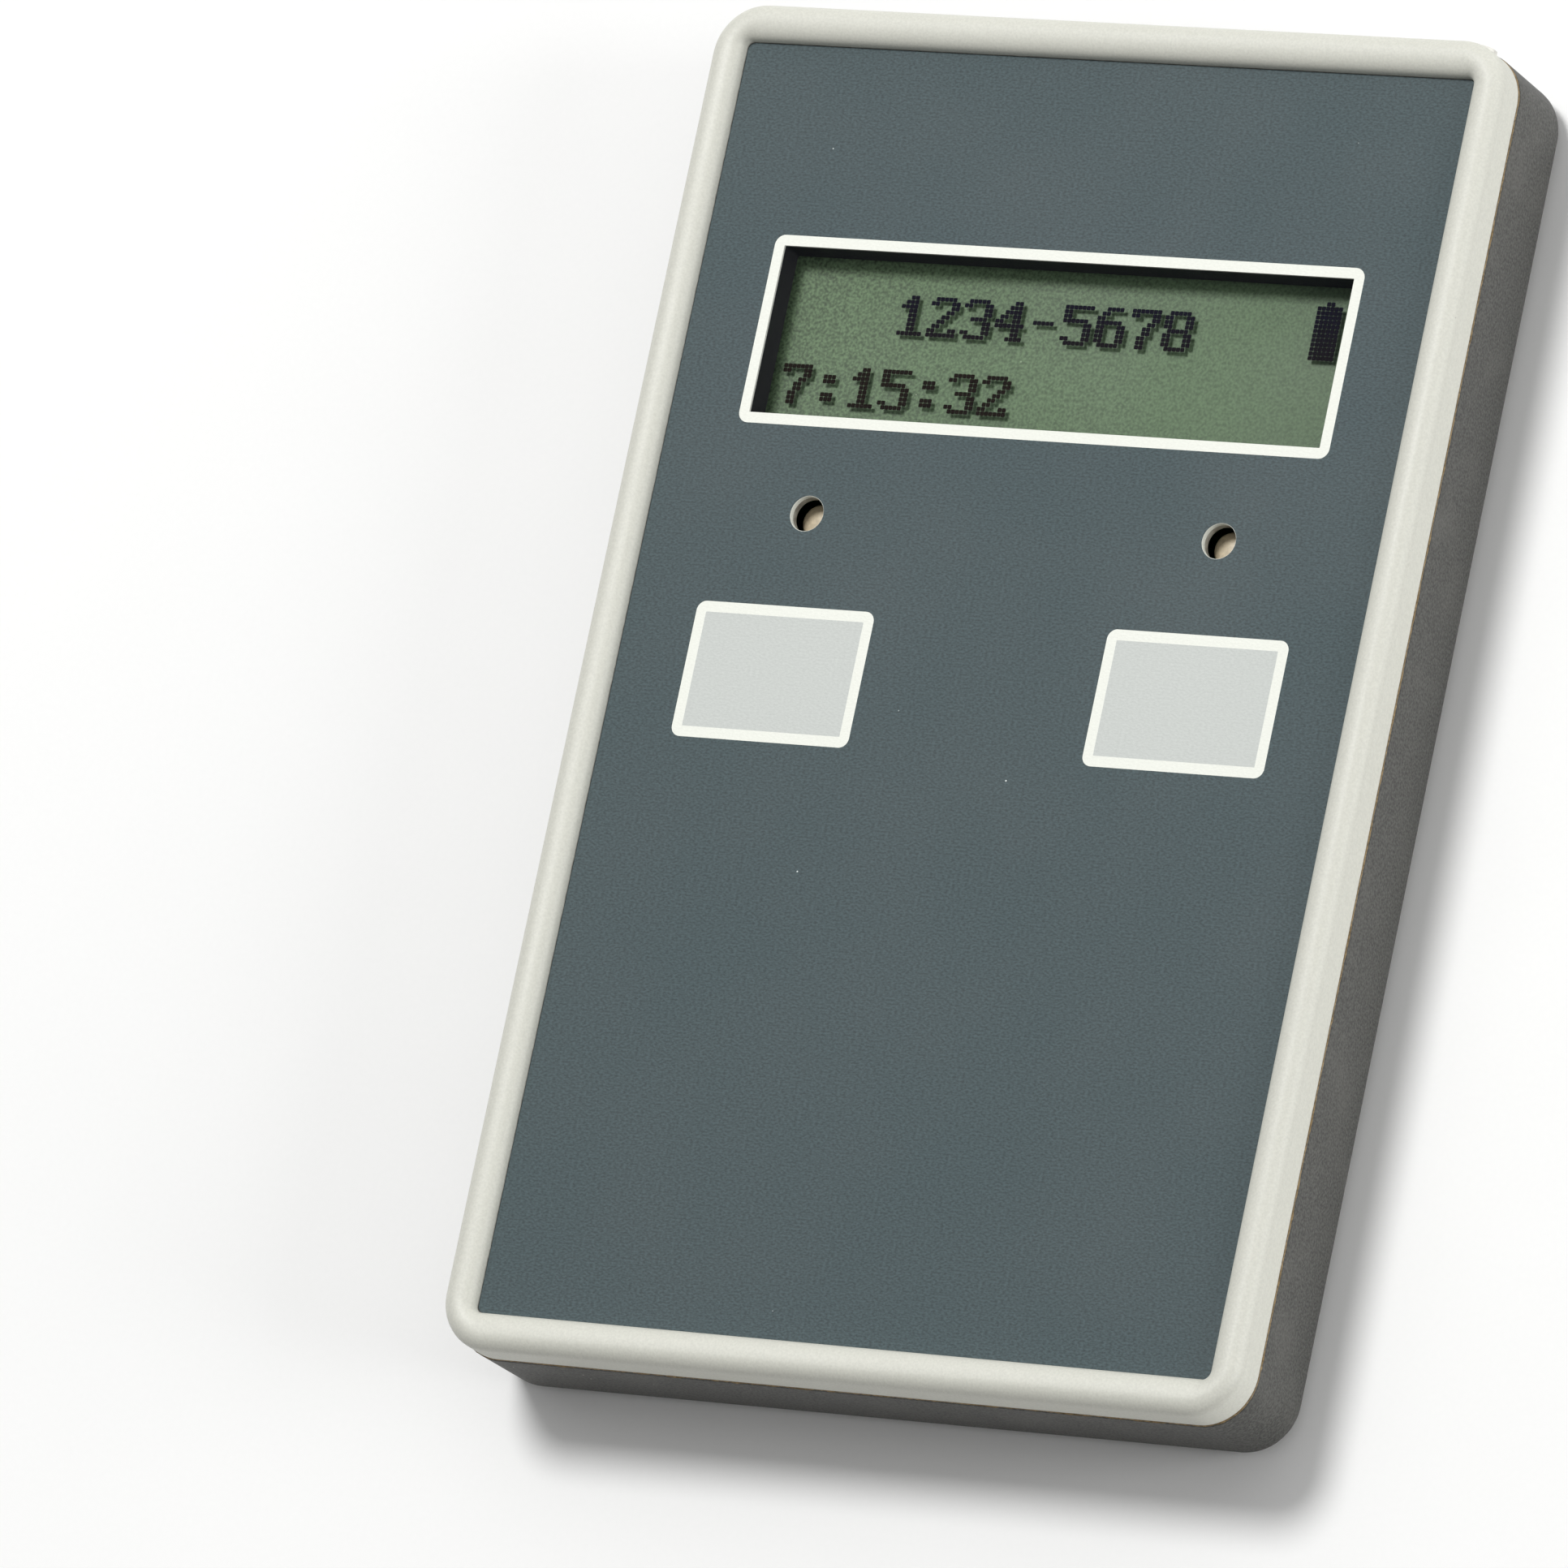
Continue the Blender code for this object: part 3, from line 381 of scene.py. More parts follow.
class Shader:
    """A Principled material with short ways to add procedural nodes to it."""

    def __init__(self, name, roughness, metallic=0.0):
        self.material = bpy.data.materials.new(name)
        self.material.use_nodes = True
        self.tree = self.material.node_tree
        self.bsdf = self.tree.nodes["Principled BSDF"]
        self.bsdf.inputs["Metallic"].default_value = metallic
        self.bsdf.inputs["Roughness"].default_value = roughness
        self.place = self.add("ShaderNodeTexCoord").outputs["Object"]

    def add(self, kind, settings=None, **inputs):
        node = self.tree.nodes.new(kind)
        for key, value in (settings or {}).items():
            setattr(node, key, value)
        for key, value in inputs.items():
            self.put(node.inputs[key], value)
        return node

    def put(self, socket, value):
        if isinstance(value, bpy.types.NodeSocket):
            self.tree.links.new(value, socket)
        else:
            socket.default_value = value

    def shade(self, **inputs):
        for key, value in inputs.items():
            self.put(self.bsdf.inputs[key.replace("_", " ")], value)

    def noise(self, size, detail=2.0, stretch=(1.0, 1.0, 1.0)):
        """Lumps about size millimetres across, stretched along each axis."""
        scale = [1.0 / (size * MM * s) for s in stretch]
        mapping = self.add("ShaderNodeMapping", Vector=self.place, Scale=scale)
        return self.add("ShaderNodeTexNoise", Vector=mapping.outputs[0], Scale=1.0,
                        Detail=detail).outputs[0]

    def remap(self, value, low, high, new_low, new_high):
        node = self.add("ShaderNodeMapRange", Value=value)
        node.inputs["From Min"].default_value = low
        node.inputs["From Max"].default_value = high
        node.inputs["To Min"].default_value = new_low
        node.inputs["To Max"].default_value = new_high
        return node.outputs[0]

    def mix(self, factor, first, second):
        node = self.add("ShaderNodeMix", {"data_type": "RGBA"})
        self.put(node.inputs[0], factor)
        self.put(node.inputs[6], first)
        self.put(node.inputs[7], second)
        return node.outputs[2]

    def math(self, operation, first, second):
        node = self.add("ShaderNodeMath", {"operation": operation})
        self.put(node.inputs[0], first)
        self.put(node.inputs[1], second)
        return node.outputs[0]

    def axis(self, name):
        return self.add("ShaderNodeSeparateXYZ", Vector=self.place).outputs[name]

    def specks(self, spacing, radius, share):
        """1 inside small round specks, about one for each cell that share lets through."""
        cells = self.add("ShaderNodeTexVoronoi", Vector=self.place, Scale=1.0 / (spacing * MM))
        chosen = self.add("ShaderNodeSeparateXYZ", Vector=cells.outputs["Color"]).outputs[0]
        inside = self.remap(cells.outputs["Distance"], 0.6 * radius / spacing,
                            radius / spacing, 1.0, 0.0)
        return self.math("MULTIPLY", inside, self.math("LESS_THAN", chosen, share))

    def bump(self, height, depth):
        """A bump of depth millimetres."""
        node = self.add("ShaderNodeBump", Height=height, Distance=depth * MM, Strength=1.0)
        self.put(self.bsdf.inputs["Normal"], node.outputs[0])


def moulded(name, colour, roughness, grain=0.25, depth=0.006, mottle=0.06, dust=None,
            metallic=0.0, stretch=(1.0, 1.0, 1.0)):
    """Moulded or printed surface: broad tone changes, a fine grain and sparse dust specks.

    The grain's size and depth are in millimetres, and mottle is how far the tone goes either
    way. Dust is a colour, the specks' spacing and radius, and the share of places with one.
    """
    shader = Shader(name, roughness, metallic)
    broad = shader.noise(14.0, 3.0)
    fine = shader.noise(grain, 2.5, stretch)
    tone = shader.math("ADD", shader.math("MULTIPLY", broad, 0.12),
                       shader.math("MULTIPLY", fine, 0.88))
    factor = shader.remap(tone, 0.35, 0.65, 0.0, 1.0)
    paint = shader.mix(factor, scaled(colour, 1.0 - mottle), scaled(colour, 1.0 + mottle))
    if dust:
        dust_colour, spacing, radius, share = dust
        paint = shader.mix(shader.specks(spacing, radius, share), paint, dust_colour)
    shader.shade(Base_Color=paint)
    shader.shade(Roughness=shader.remap(broad, 0.3, 0.7, roughness - 0.05, roughness + 0.05))
    shader.bump(fine, depth)
    return shader


def brushed(name, colour, roughness, stretch, depth=0.002):
    return moulded(name, colour, roughness, grain=0.12, depth=depth, mottle=0.10, metallic=1.0,
                   stretch=stretch).material


def paint_of(shader):
    """The socket that now colours a shader."""
    return shader.bsdf.inputs["Base Color"].links[0].from_socket


def bezel_plastic():
    """Light moulded plastic, with streaked brownish painted shade low on the bead's inner slope
    by the film and on the rim just above the seam.
    """
    colour = srgb(207, 207, 197)
    shader = moulded("bezel_plastic", colour, 0.5, grain=0.20, depth=0.008, mottle=0.05,
                     dust=(srgb(150, 146, 134), 5.0, 0.09, 0.35))
    base = paint_of(shader)
    # Painted shade: a brownish dark band where the bead's inner slope meets the film and along
    # the rim above the seam, broken into streaks.
    plane = edges_of("front_foil")[1].z * MM
    height = shader.axis("Z")
    near_film = shader.remap(height, plane, plane + 0.16 * MM, 0.75, 0.0)
    seam = edges_of("back_shell")[1].z * MM
    near_seam = shader.remap(height, seam + 0.2 * MM, seam + 0.5 * MM, 0.6, 0.0)
    painted_shade = shader.math("MAXIMUM", near_seam,
                        shader.math("MULTIPLY", near_film, inner_side(shader)))
    streaks = shader.remap(shader.noise(0.9, 3.0), 0.35, 0.7, 0.3, 1.0)
    shader.shade(Base_Color=shader.mix(shader.math("MULTIPLY", painted_shade, streaks), base,
                                       srgb(96, 86, 78)))
    return shader.material


def inner_side(shader):
    """1 inside the bead's crest, 0 outside it."""
    reach = span("front_foil")[1] + Vector((0.5, 0.5, 0.0))
    across = shader.math("ABSOLUTE", shader.axis("X"), 0.0)
    along = shader.math("ABSOLUTE", shader.axis("Y"), 0.0)
    in_x = shader.math("LESS_THAN", across, reach.x * MM)
    in_y = shader.math("LESS_THAN", along, reach.y * MM)
    return shader.math("MULTIPLY", in_x, in_y)


def back_plastic():
    """Anthracite plastic with a spark-eroded grain, scuffed lighter in places."""
    shader = moulded("back_plastic", srgb(76, 76, 73), 0.62, grain=0.22, depth=0.024,
                     mottle=0.45, dust=(srgb(198, 196, 188), 1.6, 0.08, 0.40))
    base = paint_of(shader)
    scuffs = shader.remap(shader.noise(5.0, 6.0), 0.50, 0.80, 0.0, 0.45)
    shader.shade(Base_Color=shader.mix(scuffs, base, srgb(100, 99, 95)))
    return shader.material


def film_print(name, colour, mottle=0.30):
    """Printed polyester film: fine wavy texture and a few white dust specks."""
    shader = moulded(name, colour, 0.60, grain=0.20, depth=0.014, mottle=mottle,
                     dust=(srgb(214, 222, 220), 3.4, 0.09, 0.30), stretch=(1.4, 0.8, 1.0))
    shader.bsdf.inputs["Specular IOR Level"].default_value = 0.35
    return shader.material


def clear_film(name, tint, alpha, roughness):
    """Clear polished sheet. Its gloss and its slight haze vary with a faint ripple."""
    shader = Shader(name, roughness)
    ripple = shader.noise(6.0, 2.0)
    shader.shade(Base_Color=shader.mix(ripple, scaled(tint, 0.85), tint))
    shader.shade(Roughness=shader.remap(ripple, 0.3, 0.7, roughness, roughness + 0.04))
    shader.shade(Alpha=alpha)
    shader.bump(ripple, 0.004)
    shader.bsdf.inputs["Specular IOR Level"].default_value = 0.25
    return shader.material


def lcd_green():
    """Reflective cell: fine grain, a little darker and greener towards the lower right."""
    shader = moulded("lcd_green", srgb(102, 127, 92), 0.5, grain=0.25, depth=0.008, mottle=0.5,
                     dust=(srgb(206, 222, 190), 2.2, 0.08, 0.35))
    base = paint_of(shader)
    centre, half = span("lcd_front_glass")
    lean = shader.math("SUBTRACT", shader.axis("X"), shader.axis("Y"))
    middle = (centre.x - centre.y) * MM
    fade = shader.remap(lean, middle - half.x * MM, middle + half.x * MM, 0.0, 1.0)
    shader.shade(Base_Color=shader.mix(shader.math("MULTIPLY", fade, 0.6), base,
                                       srgb(98, 127, 90)))
    return shader.material


def lcd_ink_and_reflection():
    """The cell's dark dots, with a painted bluish reflection towards the top of the window and
    brownish below.
    """
    shader = Shader("lcd_ink_and_reflection", 0.8)
    top = TOP_TEXT[2] * MM
    low = LOW_TEXT[2] * MM
    # Painted reflection: the dots turn bluish towards the top line and stay brownish below.
    fade = shader.remap(shader.axis("Y"), low, top, 0.0, 1.0)
    tint = shader.mix(fade, srgb(34, 22, 10), srgb(14, 12, 40))
    grain = shader.noise(0.25, 2.0)
    shader.shade(Base_Color=shader.mix(grain, tint, srgb(12, 9, 8)))
    shader.bsdf.inputs["Specular IOR Level"].default_value = 0.15
    shader.bump(grain, 0.002)
    return shader.material


def board_mask():
    """Green solder mask over copper tracks, which show as slightly lighter bands."""
    shader = moulded("board_mask", srgb(20, 92, 48), 0.32, grain=0.5, depth=0.003, mottle=0.12)
    base = paint_of(shader)
    brick = shader.add("ShaderNodeTexBrick", Vector=shader.place, Scale=1.0 / (4.0 * MM))
    brick.inputs["Mortar Size"].default_value = 0.05
    tracks = brick.outputs["Fac"]
    shader.shade(Base_Color=shader.mix(tracks, base, srgb(52, 132, 74)))
    shader.bump(tracks, 0.02)
    return shader.material


def surface(name, colour, roughness, grain, depth, mottle, stretch=(1.0, 1.0, 1.0)):
    """A moulded finish without dust."""
    return moulded(name, colour, roughness, grain=grain, depth=depth, mottle=mottle,
                   stretch=stretch).material


def slot_materials():
    """One procedural material for each finish that the record names.

    After the colour, surface() takes roughness, grain, depth and mottle, and brushed() takes
    roughness and the grain's stretch.
    """
    return {
        "shell_light": bezel_plastic(),
        "strip_light": surface("strip_plastic", srgb(208, 207, 200), 0.5, 0.2, 0.006, 0.04),
        "shell_dark": back_plastic(),
        "foil_grey": film_print("film_grey", srgb(65, 79, 82)),
        "key_grey": film_print("film_key", srgb(197, 201, 197), 0.05),
        "window_clear": clear_film("film_clear", srgb(30, 34, 44), 0.05, 0.10),
        "led_cream": surface("led_resin", srgb(208, 193, 164), 0.35, 0.3, 0.003, 0.10),
        "foam_black": surface("pad_foam", srgb(38, 38, 40), 0.88, 0.35, 0.06, 0.25),
        "frame_black": surface("frame_rubber", srgb(17, 17, 20), 0.8, 0.3, 0.01, 0.2),
        "lcd_green": lcd_green(),
        "backlight_white": surface("light_guide", srgb(228, 230, 224), 0.35, 1.2, 0.01, 0.03),
        "flex_amber": surface("polyimide", srgb(184, 112, 40), 0.3, 0.4, 0.003, 0.1,
                             stretch=(0.3, 6.0, 1.0)),
        "board_green": board_mask(),
        "chip_black": surface("chip_compound", srgb(40, 40, 43), 0.5, 0.12, 0.006, 0.15),
        "tinned_steel": brushed("tinned_sheet", srgb(205, 204, 200), 0.3, (12.0, 1.0, 1.0)),
        "screw_steel": brushed("zinc_plate", srgb(176, 177, 178), 0.34, (1.0, 1.0, 4.0)),
        "gold_wire": brushed("gold_plate", srgb(226, 190, 124), 0.28, (1.0, 1.0, 1.0)),
        "capacitor_ochre": surface("capacitor_case", srgb(206, 160, 66), 0.45, 0.2, 0.006, 0.08),
        "cell_silver": brushed("pouch_foil", srgb(196, 198, 202), 0.38, (3.0, 3.0, 1.0), 0.01),
        "lead_red": surface("lead_jacket_red", srgb(190, 30, 28), 0.4, 0.3, 0.003, 0.08),
        "lead_black": surface("lead_jacket_black", srgb(34, 34, 35), 0.4, 0.3, 0.003, 0.15),
        "plug_white": surface("nylon", srgb(224, 220, 206), 0.42, 0.3, 0.004, 0.04),
        "rubber_black": surface("motor_rubber", srgb(44, 44, 45), 0.8, 0.25, 0.012, 0.2),
        "tungsten": brushed("heavy_alloy", srgb(150, 150, 152), 0.4, (1.0, 1.0, 1.0), 0.006),
        "switch_black": surface("switch_nylon", srgb(42, 42, 44), 0.42, 0.2, 0.004, 0.12),
    }


# ---------------------------------------------------------------- case

def seam_height():
    """The middle of the gap between the two shells."""
    return edges_of("back_shell")[1].z + 0.5 * CAD_GAP


def bead_rings():
    """The front shell's skin, from inside the lip, over the bead, down to the film's bed."""
    half = span("front_shell")[1]
    crest = edges_of("front_shell")[1].z
    foil_high = edges_of("front_foil")[1]
    rim = seam_height() + SEAM_HALF_GAP
    lip = LIP_INSET + LIP_WALL
    plan = [(lip, rim + PLATE_UNDERSIDE), (lip, rim - LIP_DEPTH), (LIP_INSET, rim - LIP_DEPTH),
            (LIP_INSET, rim), (RIM_CHAMFER, rim), (0.0, rim + RIM_CHAMFER)]
    for step in range(BEAD_STEPS + 1):
        turn = 0.5 * math.pi * step / BEAD_STEPS
        plan.append((BEAD_RADIUS * (1 - math.cos(turn)),
                     crest - BEAD_RADIUS * (1 - math.sin(turn))))
    rings = [ring((half.x - inset, half.y - inset), CORNER_RADIUS - inset, z)
             for inset, z in plan]
    bed = foil_high + Vector((BEAD_GAP, BEAD_GAP, 0))
    for step in range(1, BEAD_STEPS + 1):
        turn = 0.5 * math.pi * step / BEAD_STEPS
        share = math.sin(turn) ** BEAD_FULLNESS
        drop = 1 - math.cos(turn) ** BEAD_FULLNESS
        shoulder = CORNER_RADIUS - BEAD_RADIUS
        rings.append(ring((half.x - BEAD_RADIUS - share * (half.x - BEAD_RADIUS - bed.x),
                           half.y - BEAD_RADIUS - share * (half.y - BEAD_RADIUS - bed.y)),
                          shoulder + share * (FILM_CORNER - shoulder),
                          crest - (crest - bed.z) * drop))
    rings.append(ring(bed, FILM_CORNER, bed.z - FILM - BED_GAP))
    return rings


def front_bezel(material):
    """The light shell: bead, plate, lip and posts, open for the display, keys and LEDs."""
    obj = make("front_bezel", loft(bead_rings()), material)
    top = edges_of("front_foil")[1].z
    low = edges_of("front_shell")[0].z
    posts = []
    holes = []
    for number in SCREWS:
        at = span(f"case_screw_{number}")[0]
        posts.append(turned(at, [(POST_RADIUS, low), (POST_RADIUS, POST_TOP)], POST_STEPS))
        bore = [(POST_BORE_RADIUS, low - CUT_PAST), (POST_BORE_RADIUS, POST_BORE_TOP)]
        holes.append(turned(at, bore, POST_STEPS))
    carve(obj, posts, "UNION")
    frame_centre, frame_half = span("display_gasket")
    opening = (frame_half.x + DISPLAY_OPENING_GAP, frame_half.y + DISPLAY_OPENING_GAP)
    holes.append(loft([ring(opening, DISPLAY_OPENING_CORNER, z, frame_centre, 4)
                       for z in (OPENINGS_LOW, top)]))
    for side in ("left", "right"):
        opening = (0.5 * KEY_FIELD[0] + KEY_OPENING_GAP, 0.5 * KEY_FIELD[1] + KEY_OPENING_GAP)
        holes.append(loft([ring(opening, KEY_OPENING_CORNER, z, key_centre(side), 6)
                           for z in (OPENINGS_LOW, top)]))
        led_centre, led_half = span(f"{side}_led")
        ceiling = top - FILM - BED_GAP - LED_SHELL_WALL
        pocket = led_half.x + LED_POCKET_GAP
        passage = LED_HOLE_RADIUS + HOLE_CLEARANCE
        holes.append(turned(led_centre, [(passage, z) for z in (OPENINGS_LOW, top)]))
        holes.append(turned(led_centre, [(pocket, z) for z in (OPENINGS_LOW, ceiling)]))
    holes.append(groove())
    carve(obj, holes)
    return settle(obj, "case", "shell_light", "front_shell")


def groove():
    """The place of the strip along the top end, a little larger all round."""
    low, high = edges_of("end_strip")
    gap = Vector((GROOVE_GAP, GROOVE_GAP, GROOVE_GAP))
    return block(low - gap, high + gap + Vector((0, CUT_FAR_PAST, 0)))


def socket_hole(clearance):
    """The rounded opening for the charging socket, through the back shell's top wall."""
    low, high = edges_of("charging_socket_shell")
    bm = block((low.x - clearance, low.y - SOCKET_CUT_IN, low.z - clearance),
               (high.x + clearance, high.y + CUT_FAR_PAST, high.z + clearance))
    along = [e for e in bm.edges if abs(e.verts[0].co.y - e.verts[1].co.y) > MM]
    bmesh.ops.bevel(bm, geom=along, offset=SOCKET_CORNER * MM, segments=6, profile=0.5,
                    affect="EDGES")
    return bm


def back_profile():
    """The back shell's wall as (inset, height) points, up its outside and down its inside."""
    rim = seam_height() - SEAM_HALF_GAP
    profile = []
    for step in range(BACK_EDGE_STEPS + 1):
        turn = 0.5 * math.pi * step / BACK_EDGE_STEPS
        profile.append((BACK_EDGE_RADIUS * (1 - math.sin(turn)),
                        BACK_EDGE_RADIUS * (1 - math.cos(turn))))
    profile += [(-BACK_PROUD, rim - below) for below in BACK_PROUD_BAND]
    profile += [(BACK_RIM_INSET, rim), (BACK_WALL, rim), (BACK_WALL, BACK_FLOOR + FLOOR_FILLET)]
    for step in range(1, FLOOR_FILLET_STEPS + 1):
        turn = 0.5 * math.pi * step / FLOOR_FILLET_STEPS
        profile.append((BACK_WALL + FLOOR_FILLET * (1 - math.cos(turn)),
                        BACK_FLOOR + FLOOR_FILLET * (1 - math.sin(turn))))
    return profile


def back_cover(material):
    """The dark tub, with its screw bosses and wells, the cell's ribs and the socket's hole."""
    half = span("back_shell")[1]
    rings = [ring((half.x - inset, half.y - inset), CORNER_RADIUS - inset, z)
             for inset, z in back_profile()]
    obj = make("back_cover", loft(rings), material)
    bosses = []
    holes = [socket_hole(SOCKET_CLEARANCE)]
    for number in SCREWS:
        at = span(f"case_screw_{number}")[0]
        bosses.append(turned(at, BOSS, BOSS_STEPS))
        holes.append(turned(at, SCREW_WELL))
        holes.append(turned(at, BOSS_BORE, BOSS_BORE_STEPS))
    cell_low, cell_high = edges_of("battery_cell")
    reach, near, far, top = UPPER_RIB
    bosses.append(block((-reach, cell_high.y + near, RIB_LOW), (reach, cell_high.y + far, top),
                        RIB_EDGE, 2))
    reach, near, far, top = LOWER_RIB
    bosses.append(block((-reach, cell_low.y - far, RIB_LOW), (reach, cell_low.y - near, top),
                        RIB_EDGE, 2))
    carve(obj, bosses, "UNION")
    carve(obj, holes)
    return settle(obj, "case", "shell_dark", "back_shell")


def seam_flash(material):
    """The thin ragged squeeze-out that shows between the two shells."""
    half = span("back_shell")[1]
    outer = ring(half, CORNER_RADIUS, seam_height())
    base = []
    for a, b in zip(outer, outer[1:] + outer[:1]):
        count = max(1, round((Vector(b) - Vector(a)).length / FLASH_SPACING))
        base += [Vector(a).lerp(Vector(b), i / count) for i in range(count)]
    rings = []
    for reach, rise in FLASH_SECTION:
        points = []
        for p in base:
            ragged = FLASH_REACH
            for depth, frequency in FLASH_LUMPS:
                ragged += depth * noise.noise(p * frequency)
            out = (Vector((p.x, p.y, 0)) - nearest_spine(p, half)).normalized()
            distance = reach * max(FLASH_LEAST, ragged) if reach > 0 else reach
            points.append(p + out * distance + Vector((0, 0, rise)))
        rings.append(points)
    obj = make("seam_flash", loft(rings, closed=True), material)
    return settle(obj, "case", "shell_dark")


def nearest_spine(p, half):
    """The closest point to p of the rectangle that the rounded corners are centred on."""
    x = half.x - CORNER_RADIUS
    y = half.y - CORNER_RADIUS
    return Vector((max(-x, min(x, p.x)), max(-y, min(y, p.y)), 0))


def end_moulding(material):
    """The light strip along the top end, whose ends follow the case's corners."""
    low, high = edges_of("end_strip")
    obj = make("end_moulding", block(low, high, STRIP_EDGE, 4), material)
    half = span("front_shell")[1]
    reach = (half.x + STRIP_PROUD, half.y + STRIP_PROUD)
    rings = [ring(reach, CORNER_RADIUS + STRIP_PROUD, z)
             for z in (low.z - CUT_PAST, high.z + CUT_PAST)]
    carve(obj, [loft(rings)], "INTERSECT")
    return settle(obj, "case", "strip_light", "end_strip")


def case_screw(number, material):
    """A pan head screw with a cross recess, its head facing down in its well."""
    name = f"case_screw_{number}"
    low, high = edges_of(name)
    at, half = span(name)
    head = half.x
    under = HEAD_UNDERSIDE
    profile = [(0.9 * head, low.z), (0.97 * head, low.z + 0.08), (head, low.z + 0.25),
               (head, under - 0.1), (0.97 * head, under), (1.0, under)]
    z = under + THREAD_START
    while z < high.z - THREAD_END:
        profile += [(CORE_RADIUS, z), (THREAD_RADIUS, z + 0.5 * THREAD_PITCH)]
        z += THREAD_PITCH
    profile += [(CORE_RADIUS, z), (POINT_RADIUS, high.z)]
    obj = make(f"{name}_steel", turned(at, profile, 48), material)
    arms = []
    for turn in (0.0, 0.5 * math.pi):
        bm = loft([ring(CROSS_MOUTH, 0.05, low.z - 0.2, (0, 0), 3),
                   ring(CROSS_BOTTOM, 0.05, low.z + CROSS_DEPTH, (0, 0), 3)])
        spin = Matrix.Rotation(turn + CROSS_TURN * number, 3, "Z")
        bmesh.ops.rotate(bm, cent=(0, 0, 0), matrix=spin, verts=bm.verts)
        bmesh.ops.translate(bm, vec=(at.x * MM, at.y * MM, 0), verts=bm.verts)
        arms.append(bm)
    carve(obj, arms)
    return settle(obj, "case", "screw_steel", name)


# ---------------------------------------------------------------- film and keys

def plate_rings(half, radius, low, high, centre=(0, 0), edge=FILM_EDGE):
    """Rings of a flat plate whose upper edge is slightly rounded."""
    inner = (half[0] - edge, half[1] - edge)
    return [ring(half, radius, low, centre), ring(half, radius, high - edge, centre),
            ring(inner, max(0.02, radius - edge), high, centre)]


def key_centre(side):
    return span(f"{side}_key")[0]


def printed_film(material):
    """The printed film, open for the window, the keys with their borders and the LEDs."""
    half = span("front_foil")[1]
    top = edges_of("front_foil")[1].z
    obj = make("printed_film", loft(plate_rings(half, FILM_CORNER, top - FILM, top)), material)
    window_centre, window = window_size()
    outer = (window[0] + PRINT_LINE, window[1] + PRINT_LINE)
    levels = (top - CUT_PAST, top + CUT_PAST)
    holes = [loft([ring(outer, WINDOW_CORNER, z, window_centre) for z in levels])]
    for side in ("left", "right"):
        reach = PRINT_LINE + KEY_MARGIN
        opening = (0.5 * KEY_FIELD[0] + reach, 0.5 * KEY_FIELD[1] + reach)
        holes.append(loft([ring(opening, KEY_MARGIN_CORNER, z, key_centre(side))
                           for z in levels]))
        at = span(f"{side}_led")[0]
        holes.append(turned(at, [(LED_HOLE_RADIUS + HOLE_CLEARANCE, z) for z in levels]))
    carve(obj, holes)
    return settle(obj, "case", "foil_grey", "front_foil")


def window_size():
    """The clear window's centre and half size: the CAD's clear piece and its clearance."""
    centre, half = span("display_window")
    return centre, (half.x + CAD_GAP, half.y + CAD_GAP)


def painted_hole_light(side, material):
    """A white ring on the wall of an LED's hole, whiter than the light shell plastic there:
    painted light for the lit side of the wall.
    """
    at = span(f"{side}_led")[0]
    top = edges_of("front_foil")[1].z - HOLE_LIGHT_BELOW
    low = top - HOLE_LIGHT_DEPTH
    outer = LED_HOLE_RADIUS + HOLE_LIGHT_WIDTH
    rings = [circle(at, outer, low), circle(at, outer, top),
             circle(at, LED_HOLE_RADIUS, top), circle(at, LED_HOLE_RADIUS, low)]
    obj = make(f"{side}_painted_hole_light", loft(rings, closed=True), material)
    return settle(obj, "case", "key_grey")


def window_outline(material):
    """The white printed line round the window."""
    centre, half = window_size()
    top = edges_of("front_foil")[1].z
    low = top - FILM
    outer = (half[0] + PRINT_LINE, half[1] + PRINT_LINE)
    rings = [ring(outer, WINDOW_CORNER, low, centre), ring(outer, WINDOW_CORNER, top, centre),
             ring(half, SHARP_CORNER, top, centre), ring(half, SHARP_CORNER, low, centre)]
    obj = make("window_outline", loft(rings, closed=True), material)
    return settle(obj, "case", "key_grey")


def clear_window(material):
    centre, half = window_size()
    top = edges_of("front_foil")[1].z
    obj = make("clear_window", loft([ring(half, SHARP_CORNER, z, centre)
                                     for z in (top - FILM, top - WINDOW_SUNK)]), material)
    return settle(obj, "case", "window_clear", "display_window")


def key_field(side, material, actuator_material):
    """The part of the film over a key that travels flat, and the actuator bonded under it."""
    centre = key_centre(side)
    low, high = edges_of(f"{side}_key")
    half = (0.5 * KEY_FIELD[0], 0.5 * KEY_FIELD[1])
    field = make(f"{side}_key_field", loft([ring(half, SHARP_CORNER, z, centre)
                                            for z in (high.z - FILM, high.z)]), material)
    settle(field, f"{side}_key", "key_grey", f"{side}_key")
    pad = (half[0] - ACTUATOR_INSET, half[1] - ACTUATOR_INSET)
    under = high.z - FILM
    plate = loft([ring(pad, ACTUATOR_CORNER, z, centre) for z in (under - ACTUATOR_DEPTH, under)])
    actuator = make(f"{side}_key_actuator", plate, actuator_material)
    stem = turned(centre, [(STEM_RADIUS - STEM_CHAMFER, low.z),
                           (STEM_RADIUS, low.z + STEM_CHAMFER),
                           (STEM_RADIUS, under - STEM_SUNK)], 48)
    carve(actuator, [stem], "UNION")
    return settle(actuator, f"{side}_key", "plug_white")


